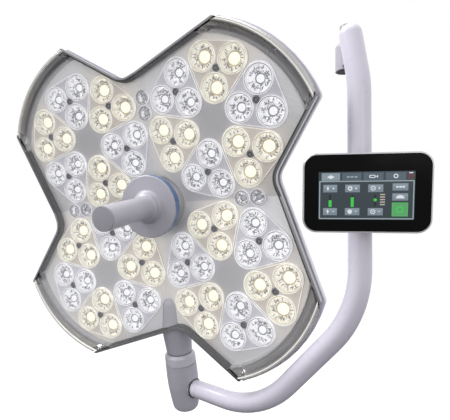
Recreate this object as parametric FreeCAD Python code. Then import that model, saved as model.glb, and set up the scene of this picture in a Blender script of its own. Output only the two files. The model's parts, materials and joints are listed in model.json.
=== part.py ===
"""Four-lobed LED operating light: lamp head, C-shaped yoke tube, touch panel and swivels.

Millimetres, +Z up.  The origin is on the swivel spindle's axis, at the shoulder where the
ceiling arm's socket ends.  The viewer stands on the -Y side, and the yoke tube hangs down
on the +X side of the lamp head.

Frames used below:
  yoke frame   origin where the tilt axis (X) crosses the post's axis, +Z up
  elbow frame  the yoke frame after the tilt, with the post's axis along its Z
  head frame   u to the right, v up and w out of the lit face, with w = 0 at the plate's centre
"""
import FreeCAD, Part
import math
import os

V = FreeCAD.Vector
PARTS = {}

# ---- rest attitude -------------------------------------------------------------------
TILT_DEG = 10.5            # lit face leans down from vertical, about the yoke's X axis
TURN_DEG = 16.0            # head turned about its post, towards the yoke tube
PANEL_YAW_DEG = 32.5       # touch panel turned about the tube
PANEL_PITCH_DEG = 6.9      # touch panel leans down

# ---- lamp head -----------------------------------------------------------------------
LOBES = 4
LOBE_PITCH = 172.0         # head axis to the middle of a lobe
SLOPE = 0.139              # rise of the face per mm away from the head axis
CORNER_LEFT = (-81.0, 299.0)    # a lobe's outer corners, x clockwise, y outwards
CORNER_RIGHT = (110.0, 296.0)
NOTCH = (131.6, 170.6)     # the notch clockwise of the lobe
APEX = 320.0               # a lobe's furthest reach from the head axis
CORNER_R = 10.0
NOTCH_R = 27.0
RING_R = 78.6              # six lens modules on this circle in each lobe
LENS_OFFSET = 28.4         # module screw to each of its three lenses
LENS_R = 22.6
BASE_R = 24.6
DOME_RISE = 7.0
POD_RADII = (155.0, 181.0)  # two small lenses in each open notch
POD_LENS_R = 12.9
PLATE_T = 1.5
WINDOW = (10.5, 13.0)      # front window, heights above the face
RIM_DEPTH = -3.9
RIM_TOP = 13.6
RIM_T = 3.0
SIDE_INSET = 2.0           # rim to the outline, along a lobe's sides
END_INSET = 25.4           # plate, gasket and window to the outline, at a lobe's outer end
RIM_END = 5.0              # the rim strips stop this short of a lobe's outer end
PAST_END = -20.0           # far enough past a lobe's end to cut it open
PAST_SIDE = -6.0           # and past its sides
COVER_TOP = -4.0
COVER_STEPS = ((0.0, -17.0), (5.0, -24.0), (13.0, -31.0), (24.0, -37.0))  # inset, rear height
WALL = 3.0
RAIL_MARGIN_DEG = 2.0      # rail's ends to the lobe's corners, seen from the end circle's centre
CLEAR = 0.3

# ---- handle --------------------------------------------------------------------------
DISC_R = 52.3
DISC_W = (41.3, 47.5)
GRIP_R = 18.6
GRIP_END = 168.0
CORE_R = 13.0
RING_W = (31.0, 40.9)
HUB_R = 36.0

# ---- post, elbow and tilt axle --------------------------------------------------------
POST_DROP = 332.0          # head axis down to the tilt axis
POST_LEAD = 2.6            # the post's axis stands this far in front of the face's centre
SHAFT_R = 13.95
BUSH_R = 14.0
BUSH_OUTER_R = 17.0
ELBOW_TOP = 43.0
COLLAR_TOP = 62.5
AXLE_R = 8.0
AXLE_BUSH_R = 8.05
AXLE_BUSH_OUTER_R = 11.0
RUN = 0.05

# ---- yoke tube -----------------------------------------------------------------------
TUBE_R = 15.0
TUBE_BORE_R = 12.3
TUBE_START = 21.0
TUBE_CORNERS = ((TUBE_START, 0.0), (163.0, 0.0), (318.7, 176.0), (318.7, 483.0))
TOP_LEAN_DEG = 9.5
TUBE_TOP = 550.0
BEND_R = 159.0
TOP_BEND_R = 190.0

# ---- swivel boss ---------------------------------------------------------------------
SPINDLE_XY = (291.0, 24.0)
SHOULDER_Z = 558.0
PIN_R = 8.3
PIN_LENGTH = 18.0
BOSS_R = 14.5
BOSS_Z = (510.0, 548.5)
SPINDLE_R = 8.35

# ---- touch panel ---------------------------------------------------------------------
PANEL_Z = 333.5
HINGE_OUT = 29.0           # tube axis to hinge pin
PANEL_W = 148.6
PANEL_H = 97.6
PANEL_CORNER_R = 17.0
PANEL_BACK = 8.0           # hinge pin to the panel's back
PANEL_FRONT = 23.0         # hinge pin to the glass's front
PANEL_SHIFT = -2.5
DISPLAY_W = 109.4
DISPLAY_H = 58.4
DISPLAY_AT = (-0.8, -3.2)
CLAMP_R = 20.5
CLAMP_H = 36.0
HINGE_R = 3.0

UP = V(0, 0, 1)
AXIS_X = V(1, 0, 0)
ORIGIN = V(0, 0, 0)


# ---- frames --------------------------------------------------------------------------
def turned(axis, degrees):
    return FreeCAD.Placement(ORIGIN, FreeCAD.Rotation(axis, degrees))


def moved(vector):
    return FreeCAD.Placement(vector, FreeCAD.Rotation())


YOKE = moved(V(-SPINDLE_XY[0], -SPINDLE_XY[1], -SHOULDER_Z))
ELBOW = YOKE.multiply(turned(AXIS_X, TILT_DEG))
HEAD = ELBOW.multiply(turned(UP, TURN_DEG)).multiply(turned(AXIS_X, 90.0)).multiply(
    moved(V(0, POST_DROP, -POST_LEAD)))
CLAMP = YOKE.multiply(moved(V(TUBE_CORNERS[2][0], 0, PANEL_Z))).multiply(turned(UP, PANEL_YAW_DEG))
PANEL = CLAMP.multiply(moved(V(PANEL_SHIFT, -HINGE_OUT, 0))).multiply(turned(AXIS_X, PANEL_PITCH_DEG))


def keep(name, shapes, placement):
    """Place a node's solids in the part's frame and store them under the node's name."""
    solids = []
    for shape in shapes if isinstance(shapes, list) else [shapes]:
        solids.extend(shape.Solids)
    compound = solids[0] if len(solids) == 1 else Part.makeCompound(solids)
    PARTS[name] = compound.transformed(placement.toMatrix())


# ---- small shape helpers --------------------------------------------------------------
def cylinder(radius, low, high, x=0.0, y=0.0):
    return Part.makeCylinder(radius, high - low, V(x, y, low), UP)


def cylinder_x(radius, low, high):
    return Part.makeCylinder(radius, high - low, V(low, 0, 0), AXIS_X)


def ring(outer, inner, low, high):
    return cylinder(outer, low, high).cut(cylinder(inner, low - 1, high + 1))


def block(x, y, z):
    """Box between the pairs x, y and z."""
    return Part.makeBox(x[1] - x[0], y[1] - y[0], z[1] - z[0], V(x[0], y[0], z[0]))


def revolved(profile, axis=UP, angle=360.0):
    """Turn a closed (radius, height) outline round the Z axis."""
    points = [V(r, 0, z) for r, z in profile]
    face = Part.Face(Part.makePolygon(points + points[:1]))
    return face.revolve(ORIGIN, axis, angle)


def rounded_block(width, height, radius, low, high):
    """Plate standing in the XZ plane with rounded corners, from low to high along -Y."""
    plate = block((-width / 2, width / 2), (-high, -low), (-height / 2, height / 2))
    edges = [e for e in plate.Edges if abs(e.tangentAt(e.FirstParameter).y) > 0.9]
    return plate.makeFillet(radius, edges)


# ---- the head's pinwheel outline ------------------------------------------------------
def quarter(point, count):
    """Turn a point clockwise by count quarter turns."""
    x, y = point
    for _ in range(count % LOBES):
        x, y = y, -x
    return (x, y)


def lobe_to_head(x, y):
    """Lobe 0 points up and to the right: x runs clockwise along the rim, y outwards."""
    half = math.sqrt(0.5)
    return ((x + y) * half, (y - x) * half)


def end_circle():
    """Circle through a lobe's two outer corners and its furthest reach."""
    (x0, y0), (x1, y1) = CORNER_LEFT, CORNER_RIGHT
    half = math.hypot(x1 - x0, y1 - y0) / 2
    middle = ((x0 + x1) / 2, (y0 + y1) / 2)
    rise = APEX - middle[1]
    radius = (half ** 2 + rise ** 2) / (2 * rise)
    normal = (-(y1 - y0) / (2 * half), (x1 - x0) / (2 * half))
    return (middle[0] - normal[0] * (radius - rise), middle[1] - normal[1] * (radius - rise)), radius


def inset_line(a, b, inset):
    """The line from a to b moved to its right by inset, as a point and a direction."""
    length = math.hypot(b[0] - a[0], b[1] - a[1])
    dx, dy = (b[0] - a[0]) / length, (b[1] - a[1]) / length
    return (a[0] + dy * inset, a[1] - dx * inset), (dx, dy)


def cross_lines(first, second):
    (px, py), (dx, dy) = first
    (qx, qy), (ex, ey) = second
    t = ((qx - px) * ey - (qy - py) * ex) / (dx * ey - dy * ex)
    return (px + dx * t, py + dy * t)


def cross_circle(line, centre, radius, sign):
    (px, py), (dx, dy) = line
    fx, fy = px - centre[0], py - centre[1]
    b = fx * dx + fy * dy
    root = math.sqrt(b * b - (fx * fx + fy * fy - radius * radius))
    t = -b + sign * root
    return (px + dx * t, py + dy * t)


def head_prism(side, end, low, high):
    """Upright prism of the head's outline, inset at the lobes' sides and outer ends."""
    centre, radius = end_circle()
    radius -= end
    out_line = inset_line(CORNER_RIGHT, NOTCH, side)
    in_line = inset_line(NOTCH, quarter(CORNER_LEFT, 1), side)
    right = cross_circle(out_line, centre, radius, -1)
    notch = cross_lines(out_line, in_line)
    far_centre = quarter(centre, 1)
    next_left = cross_circle(in_line, far_centre, radius, 1)
    left = quarter(next_left, 3)
    start = math.atan2(left[1] - centre[1], left[0] - centre[0])
    stop = math.atan2(right[1] - centre[1], right[0] - centre[0])
    middle = ((start + stop) / 2)
    top = (centre[0] + radius * math.cos(middle), centre[1] + radius * math.sin(middle))
    edges = []
    corners = []
    for count in range(LOBES):
        lobe = [lobe_to_head(*quarter(p, count)) for p in (left, top, right, notch, next_left)]
        a, m, b, c, d = [V(x, y, low) for x, y in lobe]
        edges.append(Part.Arc(a, m, b).toShape())
        edges.append(Part.LineSegment(b, c).toShape())
        edges.append(Part.LineSegment(c, d).toShape())
        corners.extend([(b, CORNER_R), (c, NOTCH_R), (d, CORNER_R)])
    solid = Part.Face(Part.Wire(edges)).extrude(V(0, 0, high - low))
    for point, size in corners:
        size = size + side if size == NOTCH_R else max(size - max(min(side, end), 0.0), 2.0)
        upright = [e for e in solid.Edges if e.Length > (high - low) * 0.99
                   and all(math.hypot(v.X - point.x, v.Y - point.y) < 0.01 for v in e.Vertexes)]
        solid = solid.makeFillet(size, upright)
    return solid


def funnel(height):
    """Everything in front of the folded face surface, moved out by height."""
    top = 260.0
    reach = math.sqrt(2.0) * (top - height) / SLOPE
    base = [V(reach, 0, top), V(0, reach, top), V(-reach, 0, top), V(0, -reach, top)]
    apex = V(0, 0, height)
    faces = [Part.Face(Part.makePolygon(base + base[:1]))]
    for i in range(4):
        faces.append(Part.Face(Part.makePolygon([base[i], base[(i + 1) % 4], apex, base[i]])))
    return Part.makeSolid(Part.makeShell(faces))


def layer(side, end, low, high):
    """Sheet that follows the folded face, from low to high in front of it."""
    return head_prism(side, end, -90.0, 120.0).common(funnel(low)).cut(funnel(high))


def lobe_placement(count):
    """Lobe frame: x clockwise, y outwards along the sloping face, z off the face."""
    slope = math.degrees(math.atan(SLOPE))
    face = turned(UP, -45.0 - 90.0 * count)
    return face.multiply(turned(AXIS_X, slope))


SLANT = math.sqrt(1.0 + SLOPE ** 2)
ELBOW_AXIS_IN_HEAD = FreeCAD.Placement(V(0, -POST_DROP, POST_LEAD), FreeCAD.Rotation(AXIS_X, -90.0))


# ---- swivel boss and spindle ----------------------------------------------------------
def tube_path():
    """Centre line of the yoke tube: straight runs joined by tangent arcs, in the XZ plane."""
    lean = math.tan(math.radians(TOP_LEAN_DEG))
    x, z = TUBE_CORNERS[-1]
    corners = [V(a, 0, b) for a, b in TUBE_CORNERS] + [V(x - lean * (TUBE_TOP - z), 0, TUBE_TOP)]
    radii = (BEND_R, BEND_R, TOP_BEND_R)
    edges = []
    start = corners[0]
    for i, radius in enumerate(radii, 1):
        back = (corners[i - 1] - corners[i]).normalize()
        ahead = (corners[i + 1] - corners[i]).normalize()
        half = back.getAngle(ahead) / 2
        reach = radius / math.tan(half)
        middle = (back + ahead).normalize()
        centre = corners[i] + middle * (radius / math.sin(half))
        first, last = corners[i] + back * reach, corners[i] + ahead * reach
        edges.append(Part.LineSegment(start, first).toShape())
        edges.append(Part.Arc(first, centre - middle * radius, last).toShape())
        start = last
    edges.append(Part.LineSegment(start, corners[-1]).toShape())
    return Part.Wire(edges), corners[-1]


def tube_solid(radius, path, end):
    circle = Part.Wire(Part.Circle(V(TUBE_START, 0, 0), AXIS_X, radius).toShape())
    body = path.makePipeShell([circle], True, False)
    return body.fuse(Part.makeSphere(radius, end)).removeSplitter()


def build_yoke():
    path, end = tube_path()
    outer = tube_solid(TUBE_R, path, end)
    keep("yoke_tube", outer.cut(tube_solid(TUBE_BORE_R, path, end)), YOKE)

    x, y = SPINDLE_XY
    low, high = BOSS_Z
    barrel = cylinder(BOSS_R, low, high, x, y)
    top_edge = [e for e in barrel.Edges if e.BoundBox.ZMin > high - 0.1 and e.Length > 50]
    barrel = barrel.makeFillet(5.0, top_edge)
    tube_x = TUBE_CORNERS[-1][0] - math.tan(math.radians(TOP_LEAN_DEG)) * (high - TUBE_CORNERS[-1][1])
    web_angle = math.degrees(math.atan2(-y, tube_x - x))
    web = block((0, 32), (-8, 8), (low + 3, high - 6))
    web = web.transformed(moved(V(x, y, 0)).multiply(turned(UP, web_angle)).toMatrix())
    barrel = barrel.fuse(web).cut(outer).removeSplitter()
    barrel = barrel.cut(cylinder(11.0, low + 2.5, high + 1, x, y))
    barrel = barrel.cut(cylinder(12.5, low - 1, low + 2.5, x, y))
    screw = Part.makeCylinder(3.0, 14.0, V(x, y, low + 18), V(-1, 0, 0))
    barrel = barrel.cut(screw)
    keep("boss_barrel", max(barrel.Solids, key=lambda s: s.Volume), YOKE)
    bush = cylinder(11.0, low + 8, high + 0.5, x, y).cut(cylinder(SPINDLE_R + RUN, low, high + 2, x, y))
    screw_tip = Part.makeCylinder(3.0, 5.0, V(x - 8.0, y, low + 18), V(-1, 0, 0))
    keep("boss_bush", bush.cut(screw_tip), YOKE)
    keep("boss_cap", cylinder(12.5, low, low + 2.4, x, y), YOKE)
    grub = Part.makeCylinder(2.95, 5.4, V(x - 8.6, y, low + 18), V(-1, 0, 0))
    hexagon = Part.makeCylinder(1.5, 3.0, V(x - 11.6, y, low + 18), V(-1, 0, 0))
    keep("boss_brake_screw", grub.cut(hexagon), YOKE)

    shaft = cylinder(SPINDLE_R, low + 5, high + 1, x, y)
    shaft = shaft.fuse(cylinder(6.8, high + 1, SHOULDER_Z, x, y))
    pin = cylinder(PIN_R, SHOULDER_Z, SHOULDER_Z + PIN_LENGTH, x, y)
    pin_edge = [e for e in pin.Edges if e.BoundBox.ZMin > SHOULDER_Z + PIN_LENGTH - 0.1]
    shaft = shaft.fuse(pin.makeChamfer(0.8, pin_edge))
    groove = ring(SPINDLE_R + 1, SPINDLE_R - 1.2, low + 6.1, low + 7.9).translated(V(x, y, 0))
    keep("spindle", shaft.cut(groove).removeSplitter(), YOKE)
    clip = ring(10.2, SPINDLE_R - 1.2, low + 6.2, low + 7.6).translated(V(x, y, 0))
    keep("spindle_circlip", clip, YOKE)

    axle = cylinder_x(TUBE_BORE_R, TUBE_START, TUBE_START + 24).fuse(cylinder_x(AXLE_R, -18, TUBE_START))
    axle = axle.fuse(cylinder_x(5.0, -23.5, -18))
    keep("tilt_axle", axle.removeSplitter(), YOKE)
    nut = Part.Face(Part.makePolygon([V(-22.5, 9 * math.cos(a), 9 * math.sin(a))
                                      for a in [math.radians(60 * i) for i in range(7)]]))
    nut = nut.extrude(V(4.2, 0, 0)).cut(cylinder_x(5.0, -24, -18))
    keep("tilt_nut", nut, YOKE)


# ---- elbow ---------------------------------------------------------------------------
def build_elbow():
    profile = [(0, -43.5), (15, -43.5), (19.8, -41.7), (22.4, -38.5), (23.6, -34), (25.8, -16), (27.6, 2),
               (28, 20), (27.6, ELBOW_TOP), (0, ELBOW_TOP)]
    body = revolved(profile)
    core = body.cut(cylinder(BUSH_OUTER_R, 24, ELBOW_TOP + 1))
    core = core.cut(cylinder(19.5, 14, 24))
    core = core.cut(cylinder_x(AXLE_BUSH_OUTER_R, -17, 21))
    core = core.cut(cylinder_x(TUBE_R + 0.4, 20.5, 40))
    core = core.cut(cylinder_x(12.7, -40, -17))
    keep("elbow_housing", core, ELBOW)
    keep("elbow_plug", body.common(cylinder_x(12.7, -40, -24)), ELBOW)
    keep("tilt_bush", cylinder_x(AXLE_BUSH_OUTER_R, -17, 20.2).cut(cylinder_x(AXLE_BUSH_R, -18, 21)), ELBOW)

    collar = revolved([(BUSH_OUTER_R, ELBOW_TOP), (26.6, ELBOW_TOP), (26.6, ELBOW_TOP + 1.2),
                       (27.5, ELBOW_TOP + 1.2), (27.2, COLLAR_TOP - 4.2), (23.4, COLLAR_TOP),
                       (BUSH_OUTER_R, COLLAR_TOP)])
    keep("elbow_collar", collar, ELBOW)
    keep("post_bush", ring(BUSH_OUTER_R, BUSH_R, 24, COLLAR_TOP), ELBOW)


# ---- post, cross and covers ------------------------------------------------------------
def post_solid(extra=0.0):
    """The post above the collar: a flared neck that ends in a rounded fairing in the head."""
    neck = [(22.9, COLLAR_TOP + CLEAR), (23.4, 72), (24.6, 86), (26.0, 104), (25.6, 116), (23.4, 128),
            (21.4, 142), (19.4, 156)]
    tip = [(15.2, 164), (8.4, 168.5), (0, 170)]
    sides = [(r + extra, z) for r, z in neck] + [(r + extra if r else 0, z + extra) for r, z in tip]
    return revolved([(0, COLLAR_TOP + CLEAR)] + sides)


def in_head(shape):
    """Carry a shape from the elbow's post axis into the head frame."""
    return shape.transformed(ELBOW_AXIS_IN_HEAD.toMatrix())


def cross_arm():
    arm = block((-22, 22), (58, 232), (-19.5, -14.5))
    flange = block((-22, -18), (58, 232), (-25.0, -19.5))
    return arm.fuse(flange).fuse(flange.mirror(ORIGIN, AXIS_X)).removeSplitter()


def build_head_frame():
    neck = in_head(post_solid())
    shaft = cylinder(SHAFT_R, 20.5, COLLAR_TOP + CLEAR + 0.5)
    shaft = shaft.cut(ring(SHAFT_R + 1, SHAFT_R - 1.6, 21.2, 23.0))
    post = neck.fuse(in_head(shaft)).removeSplitter()
    keep("post", post, HEAD)
    keep("post_circlip", in_head(ring(16.4, SHAFT_R - 1.6, 21.3, 22.9)), HEAD)

    room = in_head(post_solid(CLEAR))
    cross = ring(62, 30, -20, -13).fuse(ring(72, 57, -20, -6.5))
    for count in range(LOBES):
        cross = cross.fuse(cross_arm().transformed(lobe_placement(count).toMatrix()))
    bridge = block((-14, 14), (-176, -56), (-30, 10)).common(funnel(-19.0)).cut(funnel(-14.5))
    cross = cross.fuse(bridge).cut(room).removeSplitter()
    keep("frame_cross", max(cross.Solids, key=lambda s: s.Volume), HEAD)

    shell = revolved([(0, -62), (60, -62), (72, -56), (78, -44), (80, -20), (0, -20)])
    hollow = revolved([(0, -59), (58.5, -59), (69.5, -53.5), (75, -43), (77, -12), (0, -12)])
    top, hollow_top = COVER_TOP, COVER_TOP - WALL
    for inset, back in COVER_STEPS:
        shell = shell.fuse(layer(inset, inset, back, top))
        hollow = hollow.fuse(layer(inset + WALL, inset + WALL, back + WALL, hollow_top))
        top, hollow_top = back + 1.0, back + WALL + 1.0
    mouth = head_prism(SIDE_INSET + RIM_T + 3, END_INSET + 7, -12.0, 120.0).common(funnel(-10.0))
    shell = shell.cut(hollow).cut(mouth).cut(room)
    keep("back_cover", max(shell.Solids, key=lambda s: s.Volume), HEAD)

    rim = layer(SIDE_INSET, PAST_END, RIM_DEPTH, RIM_TOP)
    rim = rim.cut(head_prism(SIDE_INSET + RIM_T, PAST_END, -90.0, 120.0)).cut(room)
    rim = rim.common(head_prism(PAST_SIDE, RIM_END, -90.0, 120.0))
    keep("rim", [strip for strip in rim.Solids if strip.Volume > 500], HEAD)
    inset = SIDE_INSET + RIM_T + 0.1
    seat = WINDOW[0] - 0.1
    gasket = layer(inset, END_INSET, 0.1, seat)
    gasket = gasket.cut(head_prism(inset + 3, PAST_END, -90.0, 120.0)).cut(room)
    keep("gasket", [strip for strip in gasket.Solids if strip.Volume > 500], HEAD)
    seals = layer(inset + 3.1, END_INSET, 0.1, seat)
    seals = seals.cut(head_prism(PAST_SIDE, END_INSET + 1.2, -90.0, 120.0))
    keep("end_seals", [strip for strip in seals.Solids if strip.Volume > 500], HEAD)
    window = layer(inset, END_INSET, *WINDOW).cut(cylinder(DISC_R + 2, -10, 60)).cut(room)
    keep("front_window", max(window.Solids, key=lambda s: s.Volume), HEAD)


# ---- optics --------------------------------------------------------------------------
def module_centres():
    """Ring places of a lobe's modules: angle from outwards, x clockwise, y outwards."""
    for step in range(6):
        angle = math.radians(30.0 + 60.0 * step)
        yield step, angle, -RING_R * math.sin(angle), LOBE_PITCH * SLANT + RING_R * math.cos(angle)


def lens_centres(angle, x, y):
    """A module's three lenses: one towards the ring's centre, two outwards."""
    for turn in (math.pi, math.pi / 3, -math.pi / 3):
        yield x - LENS_OFFSET * math.sin(angle + turn), y + LENS_OFFSET * math.cos(angle + turn)


def lens_module(angle, x, y):
    """Clear base with three domes in front and three light cones behind, screwed at its middle."""
    lens = list(lens_centres(angle, x, y))
    tri = Part.Face(Part.makePolygon([V(px, py, CLEAR / 3) for px, py in lens + lens[:1]]))
    base = tri.extrude(V(0, 0, 2.0))
    for i in range(3):
        (ax, ay), (bx, by) = lens[i], lens[(i + 1) % 3]
        run = math.hypot(bx - ax, by - ay)
        side = block((0, run), (-BASE_R, BASE_R), (CLEAR / 3, CLEAR / 3 + 2.0))
        heading = math.degrees(math.atan2(by - ay, bx - ax))
        base = base.fuse(side.transformed(moved(V(ax, ay, 0)).multiply(turned(UP, heading)).toMatrix()))
        base = base.fuse(cylinder(BASE_R, CLEAR / 3, CLEAR / 3 + 2.0, ax, ay))
    height = DOME_RISE
    ball_r = (LENS_R ** 2 + height ** 2) / (2 * height)
    slab = block((-60, 60), (-60, 60), (0, 20)).translated(V(x, y, 2.0))
    for px, py in lens:
        ball = Part.makeSphere(ball_r, V(px, py, 2.0 + height - ball_r)).common(slab)
        cone = Part.makeCone(7.0, 19.0, 12.0, V(px, py, -11.7 + CLEAR / 3), UP)
        base = base.fuse(ball).fuse(cone)
    return base.cut(cylinder(2.4, -5, 20, x, y)).removeSplitter()


def build_optics():
    plate = layer(SIDE_INSET + RIM_T + 0.1, END_INSET, -PLATE_T, 0.0)
    plate = plate.cut(in_head(post_solid(0.6))).cut(cylinder(47.0, -10, 10))
    holes = []
    screws = []
    leds = {"warm": [], "cool": []}
    for count in range(LOBES):
        lobe = lobe_placement(count).toMatrix()
        modules = {"warm": [], "cool": []}
        for step, angle, x, y in module_centres():
            shade = "cool" if step % 2 else "warm"
            modules[shade].append(lens_module(angle, x, y).transformed(lobe))
            screw = cylinder(4.2, 2.2, 4.6, x, y).fuse(cylinder(2.2, -12.2, 2.2, x, y))
            socket = cylinder(2.0, 3.2, 5.0, x, y)
            screws.append(screw.cut(socket).transformed(lobe))
            holes.append(cylinder(2.6, -20, 20, x, y).transformed(lobe))
            for px, py in lens_centres(angle, x, y):
                holes.append(cylinder(20.0, -20, 20, px, py).transformed(lobe))
                chip = block((px - 2.5, px + 2.5), (py - 2.5, py + 2.5), (-12.5, -11.8))
                leds[shade].append(chip.transformed(lobe))
        for shade, solids in modules.items():
            keep("lens_%s_%d" % (shade, count + 1), solids, HEAD)
    pods = []
    for heading in (0.0, 90.0, 180.0):
        spin = turned(UP, heading)
        lift = math.degrees(math.atan(SLOPE / math.sqrt(2.0)))
        face = spin.multiply(turned(V(0, 1, 0), -lift))
        shell = None
        for radius in POD_RADII:
            puck = cylinder(POD_LENS_R, 1.6, 4.2, radius, 0)
            stem = cylinder(9.0, -8.0, 1.6, radius, 0)
            shell = puck.fuse(stem) if shell is None else shell.fuse(puck).fuse(stem)
            holes.append(cylinder(9.3, -12, 20, radius, 0).transformed(face.toMatrix()))
        bar = block(POD_RADII, (-5, 5), (1.6, 3.4))
        pods.append(shell.fuse(bar).removeSplitter().transformed(face.toMatrix()))
    keep("notch_pods", pods, HEAD)
    plate = plate.cut(Part.makeCompound(holes))
    keep("reflector_plate", max(plate.Solids, key=lambda s: s.Volume), HEAD)
    keep("module_screws", screws, HEAD)
    for shade, solids in leds.items():
        keep("leds_%s" % shade, solids, HEAD)


def wedge(count):
    """The quarter of the head that belongs to one lobe, kept a little off its neighbours."""
    gap = 1.0
    corner = V(gap, gap, -100)
    side = block((0, 400), (0, 400), (0, 300)).translated(corner)
    return side.transformed(turned(UP, -90.0 * count).toMatrix())


def build_boards():
    boards = []
    sinks = []
    room = in_head(post_solid(1.0)).fuse(ring(63, 1, -30, -10))
    room = room.fuse(block((-15, 15), (-177, -50), (-30, 8)))
    for count in range(LOBES):
        lobe = lobe_placement(count).toMatrix()
        board = block((-100, 100), (60, 292), (-14.0, -12.7)).transformed(lobe)
        board = board.common(head_prism(12, 38, -90, 120)).common(wedge(count)).cut(room)
        sink = block((-90, 90), (90, 270), (-17.0, -14.2))
        for fin in range(-4, 5):
            sink = sink.fuse(block((fin * 20 - 1, fin * 20 + 1), (90, 270), (-26.0, -16.5)))
        sink = sink.transformed(lobe).common(head_prism(22, 46, -90, 120)).common(wedge(count)).cut(room)
        cut = block((-23, 23), (40, 233.5), (-30, -12.4)).transformed(lobe)
        sink = sink.cut(cut)
        boards.append(max(board.Solids, key=lambda s: s.Volume))
        sinks.extend(s for s in sink.Solids if s.Volume > 500)
    keep("led_boards", boards, HEAD)
    keep("heat_sinks", sinks, HEAD)


# ---- grip rails ----------------------------------------------------------------------
def build_rails():
    """A brushed rail curls up along each lobe's outer end, with a finger trough inside it."""
    centre, radius = end_circle()
    outer = radius + (APEX * (SLANT - 1.0)) / 2 - 2.0
    floor_low = COVER_TOP + 0.1
    first, last = [math.degrees(math.atan2(y - centre[1], x - centre[0]))
                   for x, y in (CORNER_RIGHT, CORNER_LEFT)]
    first, last = first + RAIL_MARGIN_DEG, last - RAIL_MARGIN_DEG
    profile = [(outer - 24.0, floor_low), (outer - 5, floor_low), (outer - 1.5, floor_low + 3),
               (outer, floor_low + 8), (outer - 0.2, 10), (outer - 2, 13), (outer - 4.6, 13.8),
               (outer - 6.6, 12.4), (outer - 7, 9.4), (outer - 8, 6.0), (outer - 10, 2.6),
               (outer - 13.4, -0.2), (outer - 18, -1.6), (outer - 24.0, floor_low + 1.8)]
    points = [V(r, 0, z) for r, z in profile]
    face = Part.Face(Part.makePolygon(points + points[:1]))
    face.rotate(ORIGIN, UP, first)
    rail = face.revolve(ORIGIN, UP, last - first).translated(V(centre[0], centre[1] * SLANT, 0))
    within = head_prism(SIDE_INSET + RIM_T + 0.3, PAST_END, -90.0, 120.0)
    for count in range(LOBES):
        placed = rail.transformed(lobe_placement(count).toMatrix()).common(within)
        keep("grip_rail_%d" % (count + 1), max(placed.Solids, key=lambda s: s.Volume), HEAD)


# ---- hub and handle -------------------------------------------------------------------
def build_handle():
    seat = revolved([(13.05, -8), (56, -8), (56, -2), (46, 0.5), (HUB_R + 2, 3.5), (HUB_R, 6),
                     (HUB_R, RING_W[0]), (13.05, RING_W[0])])
    keep("hub_seat", seat, HEAD)
    keep("hub_ring", ring(DISC_R, 20, RING_W[0] + 0.05, RING_W[1]), HEAD)

    core = cylinder(CORE_R, -6, 120)
    core = core.fuse(cylinder(18, -13, -8 - CLEAR).cut(cylinder(10, -14, -7)).fuse(cylinder(CORE_R, -9, 0)))
    core = core.fuse(cylinder(15, 95, 99).cut(cylinder(12, 94, 100)))
    core = core.cut(cylinder(8, -14, 110)).removeSplitter()
    keep("handle_core", core, HEAD)

    disc = revolved([(15.8, DISC_W[0]), (DISC_R - 1.2, DISC_W[0]), (DISC_R, DISC_W[0] + 1.2),
                     (DISC_R, DISC_W[1] - 1.5), (DISC_R - 1.5, DISC_W[1]), (27.5, DISC_W[1]),
                     (26.5, DISC_W[1] + 3), (24.6, DISC_W[1] + 4.5), (23.8, DISC_W[1] + 10),
                     (20.5, DISC_W[1] + 13), (15.8, DISC_W[1] + 13)])
    keep("handle_disc", disc, HEAD)
    base = DISC_W[1] + 13.05
    grip = revolved([(15.8, base), (20.0, base), (GRIP_R + 0.4, base + 8), (GRIP_R, base + 18),
                     (GRIP_R, GRIP_END - 3.1), (15.8, GRIP_END - 3.1)])
    keep("handle_grip", grip, HEAD)
    cap = revolved([(0, GRIP_END - 3), (GRIP_R, GRIP_END - 3), (GRIP_R, GRIP_END - 0.8),
                    (GRIP_R - 0.8, GRIP_END), (0, GRIP_END)])
    keep("handle_cap", cap, HEAD)


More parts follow.
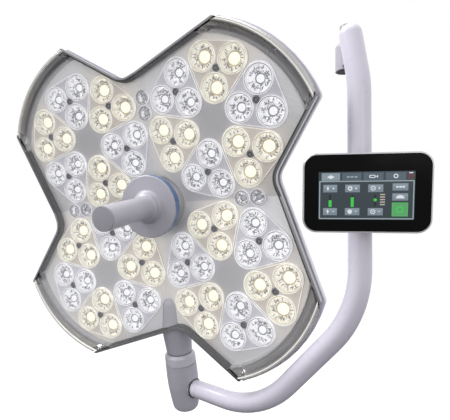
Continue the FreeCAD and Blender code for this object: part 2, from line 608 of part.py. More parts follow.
# ---- touch panel ---------------------------------------------------------------------
def build_panel():
    half = CLAMP_H / 2
    band = ring(CLAMP_R, TUBE_R + 1.5, -half, half)
    ears = block((-30, 30), (-5.5, 5.5), (-half, half)).cut(cylinder(TUBE_R + 1.5, -half - 1, half + 1))
    band = band.fuse(ears)
    bolts = []
    bores = []
    for x in (-25, 25):
        for z in (-10, 10):
            axis = V(0, -1, 0)
            bores.append(Part.makeCylinder(2.1, 20, V(x, 10, z), axis))
            head = Part.makeCylinder(3.6, 3.4, V(x, 8.9, z), axis)
            head = head.cut(Part.makeCylinder(1.6, 2.0, V(x, 8.9, z), axis))
            bolts.append(head.fuse(Part.makeCylinder(2.0, 10.6, V(x, 5.6, z), axis)))
    band = band.cut(Part.makeCompound(bores))
    front = band.common(block((-60, 60), (-60, -0.4), (-40, 40)))
    lugs = None
    for low, high in ((-18.5, -13.5), (13.5, 18.5)):
        arm = block((low, high), (-HINGE_OUT, -CLAMP_R + 9), (-6.5, 6.5))
        lug = arm.fuse(Part.makeCylinder(6.5, high - low, V(low, -HINGE_OUT, 0), AXIS_X))
        lugs = lug if lugs is None else lugs.fuse(lug)
    lugs = lugs.cut(cylinder(TUBE_R + 1.5, -half - 1, half + 1))
    pin_bore = Part.makeCylinder(HINGE_R, 50, V(-25, -HINGE_OUT, 0), AXIS_X)
    front = front.fuse(lugs.cut(Part.makeCompound(bores))).cut(pin_bore).removeSplitter()
    keep("clamp_front", max(front.Solids, key=lambda s: s.Volume), CLAMP)
    keep("clamp_rear", band.common(block((-60, 60), (0.4, 60), (-40, 40))), CLAMP)
    liner = ring(TUBE_R + 1.5, TUBE_R + RUN, -half, half)
    keep("clamp_liner", liner, CLAMP)
    keep("clamp_screws", bolts, CLAMP)
    pin = Part.makeCylinder(HINGE_R, 39, V(-19.5, -HINGE_OUT, 0), AXIS_X)
    keep("hinge_pin", pin, CLAMP)

    back = rounded_block(PANEL_W - 2, PANEL_H - 2, PANEL_CORNER_R - 1, PANEL_BACK, PANEL_FRONT - 5)
    back_edges = [e for e in back.Edges if abs(e.CenterOfMass.y + PANEL_BACK) < 0.05]
    back = back.makeChamfer(4.0, back_edges)
    hollow = rounded_block(PANEL_W - 8, PANEL_H - 8, PANEL_CORNER_R - 4, PANEL_BACK + 2.5, PANEL_FRONT)
    back = back.cut(hollow)
    knuckle = block((-13.2, 13.2), (-PANEL_BACK - 0.5, 0), (-6.0, 6.0))
    knuckle = knuckle.fuse(Part.makeCylinder(6.0, 26.4, V(-13.2, 0, 0), AXIS_X))
    knuckle = knuckle.cut(Part.makeCylinder(HINGE_R + RUN, 40, V(-20, 0, 0), AXIS_X))
    knuckle = knuckle.cut(block((-14, 14), (-20, -PANEL_BACK), (-8, 8)))
    knuckle = knuckle.translated(V(-PANEL_SHIFT, 0, 0))
    keep("panel_back", back, PANEL)
    keep("panel_knuckle", knuckle, PANEL)
    bezel = rounded_block(PANEL_W, PANEL_H, PANEL_CORNER_R, PANEL_FRONT - 4.9, PANEL_FRONT - 0.4)
    bezel = bezel.cut(rounded_block(PANEL_W - 3.4, PANEL_H - 3.4, PANEL_CORNER_R - 1.7,
                                    PANEL_FRONT - 6, PANEL_FRONT + 1))
    keep("panel_bezel", bezel, PANEL)
    glass = rounded_block(PANEL_W - 3.6, PANEL_H - 3.6, PANEL_CORNER_R - 1.8,
                          PANEL_FRONT - 2.2, PANEL_FRONT)
    keep("panel_glass", glass, PANEL)
    screen = block((-DISPLAY_W / 2, DISPLAY_W / 2), (-PANEL_FRONT + 2.3, -PANEL_FRONT + 5.0),
                   (-DISPLAY_H / 2, DISPLAY_H / 2)).translated(V(DISPLAY_AT[0], 0, DISPLAY_AT[1]))
    keep("display", screen, PANEL)
    board = block((-62, 62), (-PANEL_FRONT + 7.0, -PANEL_FRONT + 8.6), (-38, 36))
    keep("panel_board", board, PANEL)


def main():
    build_yoke()
    build_elbow()
    build_head_frame()
    build_optics()
    build_boards()
    build_rails()
    build_handle()
    build_panel()
    os.makedirs("parts", exist_ok=True)
    for name, shape in PARTS.items():
        shape.exportStep("parts/%s.step" % name)
        print("%-18s %3d solids %10.1f mm3 valid %s"
              % (name, len(shape.Solids), shape.Volume, shape.isValid()))


main()
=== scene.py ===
"""Looks of the four-lobed operating light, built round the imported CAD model.

Shapes are written in millimetres of the same local frames that the CAD uses, and every local frame is
worked out from the record's joints.  Blender's own units are metres.
"""
import json
import math

import bmesh
import bpy
from mathutils import Matrix, Vector
from mathutils.geometry import tessellate_polygon


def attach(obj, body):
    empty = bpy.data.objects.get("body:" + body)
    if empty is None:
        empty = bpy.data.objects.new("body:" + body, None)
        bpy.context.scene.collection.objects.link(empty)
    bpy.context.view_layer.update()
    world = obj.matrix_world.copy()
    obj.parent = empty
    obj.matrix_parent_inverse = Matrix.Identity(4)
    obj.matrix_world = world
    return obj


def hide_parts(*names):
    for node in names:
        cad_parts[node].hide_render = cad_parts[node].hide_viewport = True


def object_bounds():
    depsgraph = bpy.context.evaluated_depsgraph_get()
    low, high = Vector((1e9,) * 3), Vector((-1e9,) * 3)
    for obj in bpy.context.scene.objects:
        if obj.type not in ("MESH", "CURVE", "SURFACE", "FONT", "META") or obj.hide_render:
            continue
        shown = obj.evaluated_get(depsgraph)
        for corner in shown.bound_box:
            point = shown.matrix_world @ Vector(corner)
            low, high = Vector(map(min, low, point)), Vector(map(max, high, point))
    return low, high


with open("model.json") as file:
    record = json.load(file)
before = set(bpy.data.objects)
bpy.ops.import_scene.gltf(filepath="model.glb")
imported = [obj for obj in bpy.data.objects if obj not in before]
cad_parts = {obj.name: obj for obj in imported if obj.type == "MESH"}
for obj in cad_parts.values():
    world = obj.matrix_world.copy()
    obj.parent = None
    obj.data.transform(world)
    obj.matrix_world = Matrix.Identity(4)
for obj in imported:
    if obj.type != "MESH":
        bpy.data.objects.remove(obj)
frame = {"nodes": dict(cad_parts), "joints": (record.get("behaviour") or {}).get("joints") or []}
CAD_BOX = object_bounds()
NODES = frame["nodes"]
JOINTS = {joint["name"]: joint for joint in frame["joints"]}
MM = 0.001

# ---- driving sizes, in mm -------------------------------------------------------------
LOBES = 4
LOBE_PITCH = 172.0         # head axis to the middle of a lobe
SLOPE = 0.139              # rise of the lit face per mm away from the head axis
SLANT = math.sqrt(1.0 + SLOPE ** 2)
CORNER_LEFT = Vector((-81.0, 299.0))    # a lobe's outer corners, x clockwise, y outwards
CORNER_RIGHT = Vector((110.0, 296.0))
NOTCH = Vector((131.6, 170.6))
APEX = 320.0               # a lobe's furthest reach from the head axis
CORNER_R = 10.0
NOTCH_R = 27.0
ARC_STEPS = 9
CORNER_STEPS = 5
RING_R = 78.6              # six lens modules on this circle in each lobe
LENS_OFFSET = 28.4         # module screw to each of its three lenses
LENS_R = 22.6
LENS_HOLE_R = 20.9
SPOT_WARM = 9.2            # radius of the lit middle of a lens
SPOT_COOL = 6.0
SPOT_POD = 7.0
DASHES = 22                # dark marks round a lens, at most
BASE_R = 24.6
BASE_TOP = 2.1
POD_RADII = (155.0, 181.0)
POD_HEADINGS = (0.0, 90.0, 180.0)
POD_LENS_R = 12.9
POD_END_R = 13.6
SIDE_GAP = 5.3             # grip rails to the outline, along a lobe's sides
RAIL_MARGIN = math.radians(2.0)    # rails stop this far short of a lobe's corners
RAIL_STEPS = 44
RAIL_END_SHARE = 0.062     # part of a rail's length that closes each of its ends
COVER_DEPTH = 37.0         # rear shell, behind the lit face
COVER_WALL = 3.0
COVER_SCREWS = ((-62.0, 262.0), (84.0, 258.0), (70.0, 150.0), (-44.0, 150.0))    # in each lobe
VENT_ROWS = 7
VENT_PITCH = 9.0
VENT_HALF = 1.6
FOCUS_PIVOT = 20.0         # the focus joint stands this far up the head axis
DISC_R = 52.3
DISC_W = (41.3, 47.5)      # bottom and top, up the head axis
GRIP_R = 18.6
GRIP_HOLE_R = 15.8
GRIP_END = 168.0
HUB_RING_W = (31.05, 40.9)    # bottom and top, up the head axis
HUB_R = 36.0
ELBOW_TOP = 43.0
COLLAR_TOP = 62.5
PANEL_PITCH = math.radians(6.9)    # lean of the screen on its hinge
PANEL_SHIFT = -2.5
PANEL_FRONT = 23.0
PANEL_SIZE = (148.6, 97.6)
PANEL_CORNER_R = 17.0
DISPLAY_AT = (-0.8, -3.2)

# ---- camera ---------------------------------------------------------------------------
CAMERA_AT = Vector((0.2534, -0.6009, -0.2643))
CAMERA_LOOK = Vector((-0.6942, 0.7192, 0.0286))
CAMERA_ROLL = math.radians(0.4)
CAMERA_LENS = 34.53
CAMERA_SHIFT = 0.1

# ---- stage, in metres and watts -------------------------------------------------------
FLOOR_DROP = 1.2           # floor below the lowest piece
FLOOR_R = 14.0
LAMPS = {                  # place from the object's middle, size, power
    "key": ((-1.2, -1.1, 1.9), 0.9, 52.0),
    "fill": ((2.3, -1.2, 0.4), 1.2, 6.0),
    "top": ((0.1, -0.1, 2.3), 1.4, 16.0),
}


# ---- local frames ---------------------------------------------------------------------
def frame_of(x_axis, z_axis, origin):
    """Frame with the given X and Z directions; the origin is in metres."""
    z = Vector(z_axis).normalized()
    x = Vector(x_axis).normalized()
    rotation = Matrix((x, z.cross(x), z)).transposed().to_4x4()
    return Matrix.Translation(Vector(origin)) @ rotation


POST_AXIS = Vector(JOINTS["head_turn"]["axis"])
FACE_AXIS = Vector(JOINTS["focus_turn"]["axis"])
TILT_AXIS = Vector(JOINTS["head_tilt"]["axis"])
HEAD_CENTRE = Vector(JOINTS["focus_turn"]["pos_m"]) - FACE_AXIS * FOCUS_PIVOT * MM
HEAD = frame_of(POST_AXIS.cross(FACE_AXIS), FACE_AXIS, HEAD_CENTRE)
ELBOW = frame_of(TILT_AXIS, POST_AXIS, JOINTS["head_tilt"]["pos_m"])
PANEL = (frame_of(JOINTS["panel_tilt"]["axis"], (0, 0, 1), JOINTS["panel_tilt"]["pos_m"])
         @ Matrix.Rotation(PANEL_PITCH, 4, "X") @ Matrix.Translation((PANEL_SHIFT * MM, 0, 0)))


def lobe_frame(count):
    """Within the head frame: x clockwise, y outwards along the sloping face, z off the face."""
    turn = Matrix.Rotation(math.radians(-45.0 - 90.0 * count), 4, "Z")
    return turn @ Matrix.Rotation(math.atan(SLOPE), 4, "X")


# ---- shape helpers --------------------------------------------------------------------
class Form:
    """Points and faces of one piece, in millimetres of a local frame."""

    def __init__(self):
        self.points = []
        self.faces = []
        self.slots = []

    def add(self, shape, slot=0, place=None):
        points, faces = shape
        start = len(self.points)
        self.points += [place @ p for p in points] if place else list(points)
        self.faces += [[start + i for i in face] for face in faces]
        self.slots += [slot] * len(faces)
        return self

    def merge(self, other, place):
        """Add another form, carried into place, with its own slots."""
        start = len(self.points)
        self.points += [place @ p for p in other.points]
        self.faces += [[start + i for i in face] for face in other.faces]
        self.slots += other.slots

    def paint(self, slot, test):
        """Give another slot to the faces whose middle passes the test."""
        for number, face in enumerate(self.faces):
            if test(sum((self.points[i] for i in face), Vector()) / len(face)):
                self.slots[number] = slot
        return self


def new_object(name, data):
    thing = bpy.data.objects.new(name, data)
    bpy.context.scene.collection.objects.link(thing)
    return thing


def piece(name, form, place, body, materials, replaces=(), angle=38.0):
    """Turn a form into an object that rides on a body and may stand for CAD nodes."""
    mesh = bpy.data.meshes.new(name)
    mesh.from_pydata([place @ (p * MM) for p in form.points], [], form.faces)
    for material in materials:
        mesh.materials.append(material)
    mesh.polygons.foreach_set("material_index", form.slots)
    cleaned = bmesh.new()
    cleaned.from_mesh(mesh)
    bmesh.ops.recalc_face_normals(cleaned, faces=cleaned.faces)
    cleaned.to_mesh(mesh)
    cleaned.free()
    mesh.shade_smooth()
    mesh.set_sharp_from_angle(angle=math.radians(angle))
    thing = new_object(name, mesh)
    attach(thing, body)
    if replaces:
        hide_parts(*replaces)


def loft(rings, joined=False):
    """Skin over rings of points; a ring of one point is a tip, and open ends are capped."""
    points = [p for ring in rings for p in ring]
    starts = [sum(len(r) for r in rings[:i]) for i in range(len(rings))]
    faces = []
    pairs = [(i, i + 1) for i in range(len(rings) - 1)]
    if joined:
        pairs.append((len(rings) - 1, 0))
    for i, j in pairs:
        size = max(len(rings[i]), len(rings[j]))
        for k in range(size):
            m = (k + 1) % size
            a, b = starts[i], starts[j]
            if len(rings[i]) == 1:
                faces.append([a, b + m, b + k])
            elif len(rings[j]) == 1:
                faces.append([a + k, a + m, b])
            else:
                faces.append([a + k, a + m, b + m, b + k])
    if not joined:
        for i in (0, len(rings) - 1):
            if len(rings[i]) > 2:
                faces.append([starts[i] + k for k in range(len(rings[i]))])
    return points, faces


def rounded(points, radius, steps=4, closed=False):
    """Polyline with its corners rounded; the radius is one number or one for each point."""
    count = len(points)
    radii = radius if isinstance(radius, (list, tuple)) else [radius] * count
    made = []
    for i in range(count):
        here = Vector(points[i])
        if radii[i] <= 0 or (not closed and i in (0, count - 1)):
            made.append(here)
            continue
        back = Vector(points[i - 1]) - here
        ahead = Vector(points[(i + 1) % count]) - here
        half = back.angle(ahead) / 2
        reach = min(radii[i] / math.tan(half), 0.48 * back.length, 0.48 * ahead.length)
        start, stop = here + back.normalized() * reach, here + ahead.normalized() * reach
        for step in range(steps + 1):
            t = step / steps
            made.append(start * (1 - t) ** 2 + here * 2 * t * (1 - t) + stop * t ** 2)
    return made


def lathe(profile, segments=64, joined=False, centre=(0.0, 0.0), wobble=None):
    """Turn a (radius, height) outline round Z; wobble(ring, step) moves a point by (radius, height)."""
    rings = []
    for number, (radius, height) in enumerate(profile):
        if radius < 1e-6:
            rings.append([Vector((centre[0], centre[1], height))])
            continue
        ring = []
        for step in range(segments):
            dr, dz = wobble(number, step) if wobble else (0.0, 0.0)
            angle = math.tau * step / segments
            ring.append(Vector((centre[0] + (radius + dr) * math.cos(angle),
                                centre[1] + (radius + dr) * math.sin(angle), height + dz)))
        rings.append(ring)
    return loft(rings, joined)


def slab(outer, holes, low, high, edge=0.0):
    """Flat plate with holes between two heights; edge softens the outer top edge."""
    middle = sum((Vector(p) for p in outer), Vector((0, 0))) / len(outer)
    top = [p + (middle - p).normalized() * edge for p in outer] if edge else outer
    loops = [top] + holes
    flat = [p for loop in loops for p in loop]
    triangles = tessellate_polygon([[p.to_3d() for p in loop] for loop in loops])
    size = len(flat)
    points = [Vector((p.x, p.y, high)) for p in flat]
    points += [Vector((p.x, p.y, low)) for p in list(outer) + [p for loop in holes for p in loop]]
    faces = [list(t) for t in triangles] + [[i + size for i in t] for t in triangles]
    start = 0
    for number, loop in enumerate(loops):
        length = len(loop)
        ring = [start + i for i in range(length)]
        if number == 0 and edge:
            points += [Vector((p.x, p.y, high - edge)) for p in outer]
            extra = [2 * size + i for i in range(length)]
            walls = ((ring, extra), (extra, [i + size for i in ring]))
        else:
            walls = ((ring, [i + size for i in ring]),)
        for above, below in walls:
            for i in range(length):
                j = (i + 1) % length
                faces.append([above[i], above[j], below[j], below[i]])
        start += length
    return points, faces


def circle(radius, segments, x=0.0, y=0.0):
    angles = [math.tau * i / segments for i in range(segments)]
    return [Vector((x + radius * math.cos(angle), y + radius * math.sin(angle))) for angle in angles]


# ---- the head's pinwheel outline ------------------------------------------------------
def quarter(point, count):
    x, y = point
    for _ in range(count % LOBES):
        x, y = y, -x
    return Vector((x, y))


def end_circle():
    """Circle through a lobe's two outer corners and its furthest reach."""
    chord = CORNER_RIGHT - CORNER_LEFT
    half = chord.length / 2
    middle = (CORNER_LEFT + CORNER_RIGHT) / 2
    rise = APEX - middle.y
    radius = (half ** 2 + rise ** 2) / (2 * rise)
    normal = Vector((-chord.y, chord.x)).normalized()
    return middle - normal * (radius - rise), radius


def inset_line(a, b, inset):
    direction = (b - a).normalized()
    return a + Vector((direction.y, -direction.x)) * inset, direction


def cross_lines(first, second):
    (p, d), (q, e) = first, second
    t = ((q.x - p.x) * e.y - (q.y - p.y) * e.x) / (d.x * e.y - d.y * e.x)
    return p + d * t


def cross_circle(line, centre, radius, sign):
    p, d = line
    f = p - centre
    b = f.dot(d)
    return p + d * (-b + sign * math.sqrt(b * b - f.dot(f) + radius ** 2))


def outline(side, end):
    """Points round the head, with the lobes' sides and outer ends moved in."""
    centre, radius = end_circle()
    radius -= end
    out_line = inset_line(CORNER_RIGHT, NOTCH, side)
    in_line = inset_line(NOTCH, quarter(CORNER_LEFT, 1), side)
    right = cross_circle(out_line, centre, radius, -1)
    notch = cross_lines(out_line, in_line)
    left = quarter(cross_circle(in_line, quarter(centre, 1), radius, 1), 3)
    start = math.atan2(left.y - centre.y, left.x - centre.x)
    stop = math.atan2(right.y - centre.y, right.x - centre.x)
    corner = max(CORNER_R - min(side, end), 2.0)
    lobe = []
    sizes = []
    for step in range(ARC_STEPS + 1):
        angle = start + (stop - start) * step / ARC_STEPS
        lobe.append(centre + Vector((math.cos(angle), math.sin(angle))) * radius)
        sizes.append(corner if step in (0, ARC_STEPS) else 0.0)
    lobe.append(notch)
    sizes.append(NOTCH_R + side)
    points = []
    half = math.sqrt(0.5)
    for count in range(LOBES):
        for p in lobe:
            x, y = quarter(p, count)
            points.append(Vector(((x + y) * half, (y - x) * half)))
    return rounded(points, sizes * LOBES, CORNER_STEPS, closed=True)


def on_face(points, height):
    """Lift plan points onto the folded face, moved out by height."""
    return [Vector((p.x, p.y, SLOPE * (abs(p.x) + abs(p.y)) * math.sqrt(0.5) + height)) for p in points]


# ---- materials ------------------------------------------------------------------------
def srgb(*channels):
    """Linear colour of an 8-bit display colour."""
    linear = [c / 3294.6 if c <= 10.3 else ((c / 255 + 0.055) / 1.055) ** 2.4 for c in channels]
    return (*linear, 1.0)


def scaled(colour, factor):
    return tuple(min(c * factor, 1.0) for c in colour[:3]) + (1.0,)


class Nodes:
    """A shader node tree and short ways to add to it."""

    def __init__(self, tree):
        self.tree = tree

    def feed(self, socket, value):
        if isinstance(value, bpy.types.NodeSocket):
            self.tree.links.new(value, socket)
        else:
            socket.default_value = value

    def node(self, kind, inputs=(), **settings):
        made = self.tree.nodes.new(kind)
        for key, value in settings.items():
            setattr(made, key, value)
        for key, value in dict(inputs).items():
            self.feed(made.inputs[key], value)
        return made

    def math(self, operation, *values):
        made = self.node("ShaderNodeMath", operation=operation)
        for i, value in enumerate(values):
            self.feed(made.inputs[i], value)
        return made.outputs[0]

    def distance(self, x, y):
        squares = [self.math("MULTIPLY", side, side) for side in (x, y)]
        return self.math("SQRT", self.math("ADD", *squares))

    def fold(self, angle, step):
        """What is left of an angle past the nearest whole number of steps."""
        turns = self.math("ROUND", self.math("DIVIDE", angle, step))
        return self.math("SUBTRACT", angle, self.math("MULTIPLY", turns, step))

    def coords(self, place=None, stretch=(1.0, 1.0, 1.0)):
        """Object coordinates in a local frame, divided by stretch."""
        source = self.node("ShaderNodeTexCoord").outputs["Object"]
        place = place or Matrix.Identity(4)
        mapping = self.node("ShaderNodeMapping", {"Vector": source, "Location": place.translation,
                                                  "Rotation": place.to_euler(), "Scale": stretch},
                            vector_type="TEXTURE")
        return mapping.outputs[0]

    def noise(self, vector, scale, detail=3.0, roughness=0.55):
        return self.node("ShaderNodeTexNoise", {"Vector": vector, "Scale": scale, "Detail": detail,
                                                "Roughness": roughness}).outputs["Fac"]

    def spread(self, value, low, high, from_low=0.3, from_high=0.7):
        return self.node("ShaderNodeMapRange", {"Value": value, "From Min": from_low, "From Max": from_high,
                                                "To Min": low, "To Max": high}).outputs["Result"]

    def blend(self, factor, first, second):
        made = self.node("ShaderNodeMix", data_type="RGBA")
        for i, value in ((0, factor), (6, first), (7, second)):
            self.feed(made.inputs[i], value)
        return made.outputs[2]


class Shader(Nodes):
    """A material whose surface is one Principled BSDF."""

    def __init__(self, name):
        self.material = bpy.data.materials.new(name)
        self.material.use_nodes = True
        super().__init__(self.material.node_tree)
        self.bsdf = self.tree.nodes["Principled BSDF"]

    def put(self, name, value):
        """Set an input of the surface shader to a constant or to another node's output."""
        self.feed(self.bsdf.inputs[name], value)

    def bump(self, height, strength, distance):
        made = self.node("ShaderNodeBump", {"Height": height, "Strength": strength, "Distance": distance})
        self.put("Normal", made.outputs[0])


def surface(name, colour, rough, metal=0.0, coat=0.0, tint=0.05, patch=9.0, grain=900.0, bump=0.15,
            stretch=(1.0, 1.0, 1.0), painted_glow=0.0, coat_rough=0.08, specular=0.5):
    """Painted, moulded or machined surface: soft colour patches, uneven gloss and a fine grain; a glow
    strength, when given, adds a painted glow in the surface's own colour, standing in for the lamp's light in
    the optics.
    """
    made = Shader(name)
    base = srgb(*colour)
    plain = made.coords()
    patches = made.noise(plain, patch, 4.0)
    gloss = made.noise(plain, patch * 5, 3.0)
    fine = made.noise(made.coords(stretch=stretch), grain, 2.0, 0.6)
    shade = made.blend(made.spread(patches, 0.0, 1.0), scaled(base, 1 - tint), scaled(base, 1 + tint))
    shade = made.blend(made.spread(fine, 0.0, 0.35), shade, scaled(base, 1 - 1.6 * tint))
    made.put("Base Color", shade)
    made.put("Roughness", made.spread(gloss, max(rough - 0.05, 0.02), rough + 0.06))
    made.put("Metallic", metal)
    made.put("Coat Weight", coat)
    made.put("Coat Roughness", coat_rough)
    made.put("Specular IOR Level", specular)
    # Painted glow: emission in the surface's own colour, standing in for the lamp's light through the optic.
    if painted_glow:
        made.put("Emission Color", shade)
        made.put("Emission Strength", painted_glow)
    made.bump(fine, bump, 0.0001)
    return made.material


def clear(name, colour, opacity, rough=0.03, painted_glow=0.0):
    """Clear moulded plastic: mostly see-through, with gloss that grows towards grazing angles; a glow
    strength, when given, adds a painted glow standing in for the lamp's light.
    """
    made = Shader(name)
    base = srgb(*colour)
    haze = made.noise(made.coords(), 60.0, 3.0)
    made.put("Base Color", made.blend(made.spread(haze, 0.0, 1.0), scaled(base, 0.94), base))
    made.put("Roughness", made.spread(haze, rough, rough + 0.04))
    # Painted glow in the plastic's own colour, standing in for the lamp's light through it.
    if painted_glow:
        made.put("Emission Color", base)
        made.put("Emission Strength", painted_glow)
    rim = made.node("ShaderNodeLayerWeight", {"Blend": 0.25}).outputs["Facing"]
    share = made.math("MULTIPLY_ADD", rim, 0.5 - opacity / 2, opacity)
    through = made.node("ShaderNodeBsdfTransparent")
    mixed = made.node("ShaderNodeMixShader", {"Fac": share})
    made.feed(mixed.inputs[1], through.outputs[0])
    made.feed(mixed.inputs[2], made.bsdf.outputs[0])
    made.feed(made.tree.nodes["Material Output"].inputs["Surface"], mixed.outputs[0])
    return made.material


def glowing(name, colour, strength, edge):
    """Lit emitter behind its lens: even light with a fine cell pattern."""
    made = Shader(name)
    base = srgb(*colour)
    cells = made.node("ShaderNodeTexVoronoi", {"Vector": made.coords(), "Scale": 420.0}).outputs["Distance"]
    shade = made.blend(made.spread(cells, 0.0, 0.5, 0.2, 0.9), base, srgb(*edge))
    made.put("Base Color", scaled(base, 0.12))
    made.put("Emission Color", shade)
    made.put("Emission Strength", strength)
    made.put("Roughness", 0.4)
    return made.material


def facets(name, light, dark, painted_glow):
    """Facets of the light-guiding optic: bright cells, with dark dashes between them, and a painted glow
    standing in for the lamp's light through the optic.
    """
    made = Shader(name)
    vector = made.coords()
    cells = made.node("ShaderNodeTexVoronoi", {"Vector": vector, "Scale": 330.0})
    fleck = made.spread(cells.outputs["Distance"], 0.0, 1.0, 0.3, 0.55)
    patch = made.spread(made.noise(vector, 110.0, 2.0), 0.0, 1.0, 0.44, 0.54)
    shade = made.blend(made.math("MULTIPLY", fleck, patch), srgb(*light), srgb(*dark))
    made.put("Base Color", shade)
    # Painted glow: the facets emit their own colour in place of lamp light passing through them.
    made.put("Emission Color", shade)
    made.put("Emission Strength", painted_glow)
    made.put("Metallic", 0.3)
    made.put("Roughness", made.spread(patch, 0.12, 0.3, 0.0, 1.0))
    made.bump(cells.outputs["Distance"], 0.6, 0.0006)
    return made.material


def fold_to_lobe(made, local):
    """Plan place within whichever lobe a point is on: clockwise and outwards, in metres."""
    split = made.node("ShaderNodeSeparateXYZ", {"Vector": local})
    u, v = split.outputs[0], split.outputs[1]
    half = math.sqrt(0.5)
    x = made.math("MULTIPLY", made.math("SUBTRACT", u, v), half)
    y = made.math("MULTIPLY", made.math("ADD", u, v), half)
    reach = made.distance(x, y)
    angle = made.fold(made.math("ARCTAN2", x, y), math.tau / LOBES)
    return [made.math("MULTIPLY", reach, made.math(part, angle)) for part in ("SINE", "COSINE")]


def trough_painted_shade_material():
    """Rolled metal of the finger trough, with painted shade darkest at the bottom and a painted reflection
    lighter up the wall.
    """
    made = Shader("rail_trough")
    centre, radius = end_circle()
    across, outwards = fold_to_lobe(made, made.coords(HEAD))
    aside = made.math("SUBTRACT", across, centre.x * MM)
    ahead = made.math("SUBTRACT", outwards, centre.y * MM)
    inwards = made.math("SUBTRACT", radius * MM, made.distance(aside, ahead))
    brushed = made.noise(made.coords(HEAD), 26.0, 3.0)
    # Painted reflection lighter up the wall towards the bead, painted shade darkest at the trough's bottom.
    wall = made.spread(inwards, 0.0, 1.0, 0.0085, 0.0135)
    shade = made.blend(wall, srgb(214, 212, 209), srgb(148, 147, 149))
    # The painted shade eases back towards mid grey nearer the reflector sheet.
    shade = made.blend(made.spread(inwards, 0.0, 0.8, 0.0160, 0.0245), shade, srgb(190, 189, 190))
    shade = made.blend(made.spread(brushed, 0.0, 0.12), shade, srgb(120, 118, 116))
    made.put("Base Color", shade)
    made.put("Metallic", 0.6)
    made.put("Roughness", made.spread(brushed, 0.26, 0.34))
    return made.material


def reflector_painted_glow_material():
    """Satin reflector sheet: brushed across each lobe, with a painted warm glow of the warm modules' light
    round them, and darker round each lobe's middle.
    """
    made = Shader("reflector_satin_painted_glow")
    local = made.coords(HEAD)
    across, reach = fold_to_lobe(made, local)
    outwards = made.math("SUBTRACT", reach, LOBE_PITCH * MM)
    away = made.distance(across, outwards)
    bearing = made.math("ARCTAN2", made.math("MULTIPLY", across, -1.0), outwards)
    bearing = made.fold(made.math("SUBTRACT", bearing, math.radians(30.0)), math.radians(120.0))
    ring = RING_R * MM
    pull = made.math("MULTIPLY", made.math("MULTIPLY", away, 2 * ring), made.math("COSINE", bearing))
    square = made.math("SUBTRACT", made.math("ADD", made.math("MULTIPLY", away, away), ring ** 2), pull)
    from_warm = made.math("SQRT", made.math("MAXIMUM", square, 0.0))
    # Painted light: a warm glow from the warm modules spilled onto the sheet, strongest beside them.
    warm = made.spread(from_warm, 1.0, 0.0, 0.035, 0.095)
    along = made.coords(HEAD @ Matrix.Rotation(math.radians(-30), 4, "Z"), (1.0, 0.03, 1.0))
    brushed = made.noise(along, 40.0, 4.0)
    soft = made.noise(local, 7.0, 3.0)
    middle = made.spread(away, 1.0, 0.0, 0.018, 0.062)
    grey = made.blend(made.spread(soft, 0.0, 1.0), srgb(236, 235, 238), srgb(250, 248, 249))
    grey = made.blend(made.math("MULTIPLY", warm, 0.75), grey, srgb(255, 247, 234))
    shade = made.blend(middle, grey, srgb(197, 196, 199))
    shade = made.blend(made.spread(brushed, 0.0, 0.2), shade, srgb(182, 180, 180))
    made.put("Base Color", shade)
    made.put("Metallic", 0.45)
    made.put("Roughness", made.spread(brushed, 0.3, 0.48))
    made.bump(brushed, 0.12, 0.0002)
    return made.material


PALE_PAINT = surface("pale_paint", (204, 200, 214), 0.3, coat=0.3, tint=0.03, bump=0.06)
GREY_PAINT = surface("grey_paint", (170, 168, 178), 0.36, coat=0.15, tint=0.04, grain=1100.0, bump=0.08)
COLLAR_PAINT = surface("collar_paint", (190, 189, 198), 0.3, coat=0.25, tint=0.04, grain=1100.0)
COVER_PAINT = surface("cover_paint", (214, 211, 224), 0.32, coat=0.3, tint=0.03, grain=800.0)
HANDLE_PLASTIC = surface("handle_plastic", (172, 170, 180), 0.36, coat=0.14, tint=0.035, grain=1500.0,
                         bump=0.12, coat_rough=0.35)
CAP_PLASTIC = surface("cap_plastic", (150, 149, 157), 0.5, tint=0.04, grain=1700.0, bump=0.25)
BLUE_RING = surface("blue_ring", (78, 108, 152), 0.25, coat=0.5, tint=0.07)
HUB_PLASTIC = surface("hub_plastic", (206, 204, 205), 0.4, tint=0.04, grain=1300.0)
STEEL = surface("turned_steel", (190, 190, 194), 0.24, metal=1.0, tint=0.06, stretch=(1, 1, 0.05),
                grain=2200.0)
BRONZE = surface("bronze", (172, 140, 90), 0.35, metal=1.0, tint=0.08, grain=1600.0)
CAST = surface("cast_aluminium", (176, 178, 180), 0.5, metal=0.8, tint=0.08, grain=700.0, bump=0.5)
RIM_METAL = surface("rim_metal", (150, 150, 153), 0.16, metal=1.0, tint=0.1, patch=22.0, grain=1500.0,
                    bump=0.08)
RAIL_TROUGH_SHADED = trough_painted_shade_material()
# The bead's near-white colour is a painted highlight on the rail's metal.
RAIL_BEAD_HIGHLIGHT = surface("rail_bead", (238, 236, 230), 0.2, metal=0.5, coat=0.4, tint=0.03, patch=16.0, bump=0.05)
RAIL_BACK = surface("rail_back", (186, 185, 184), 0.26, metal=0.8, patch=16.0, bump=0.05)
RAIL_END = surface("rail_end", (150, 149, 150), 0.16, metal=1.0, tint=0.08, patch=24.0, bump=0.05)
RUBBER = surface("gasket_rubber", (26, 26, 28), 0.7, tint=0.15, grain=1900.0, bump=0.4)
DARK_PLASTIC = surface("dark_plastic", (44, 44, 48), 0.45, tint=0.1, grain=1700.0, bump=0.35)
SHADOW_CAP = surface("shadow_cap", (72, 72, 84), 0.5, tint=0.08, grain=1500.0)
NYLON = surface("nylon", (222, 220, 212), 0.45, grain=1200.0)
BOARD_WHITE = surface("board_white", (214, 216, 214), 0.5, grain=1000.0)
BOARD_GREEN = surface("board_green", (38, 96, 62), 0.45, tint=0.12)
SCREW_EDGE = surface("screw_edge", (128, 128, 132), 0.3, metal=0.7, tint=0.12, grain=1500.0)
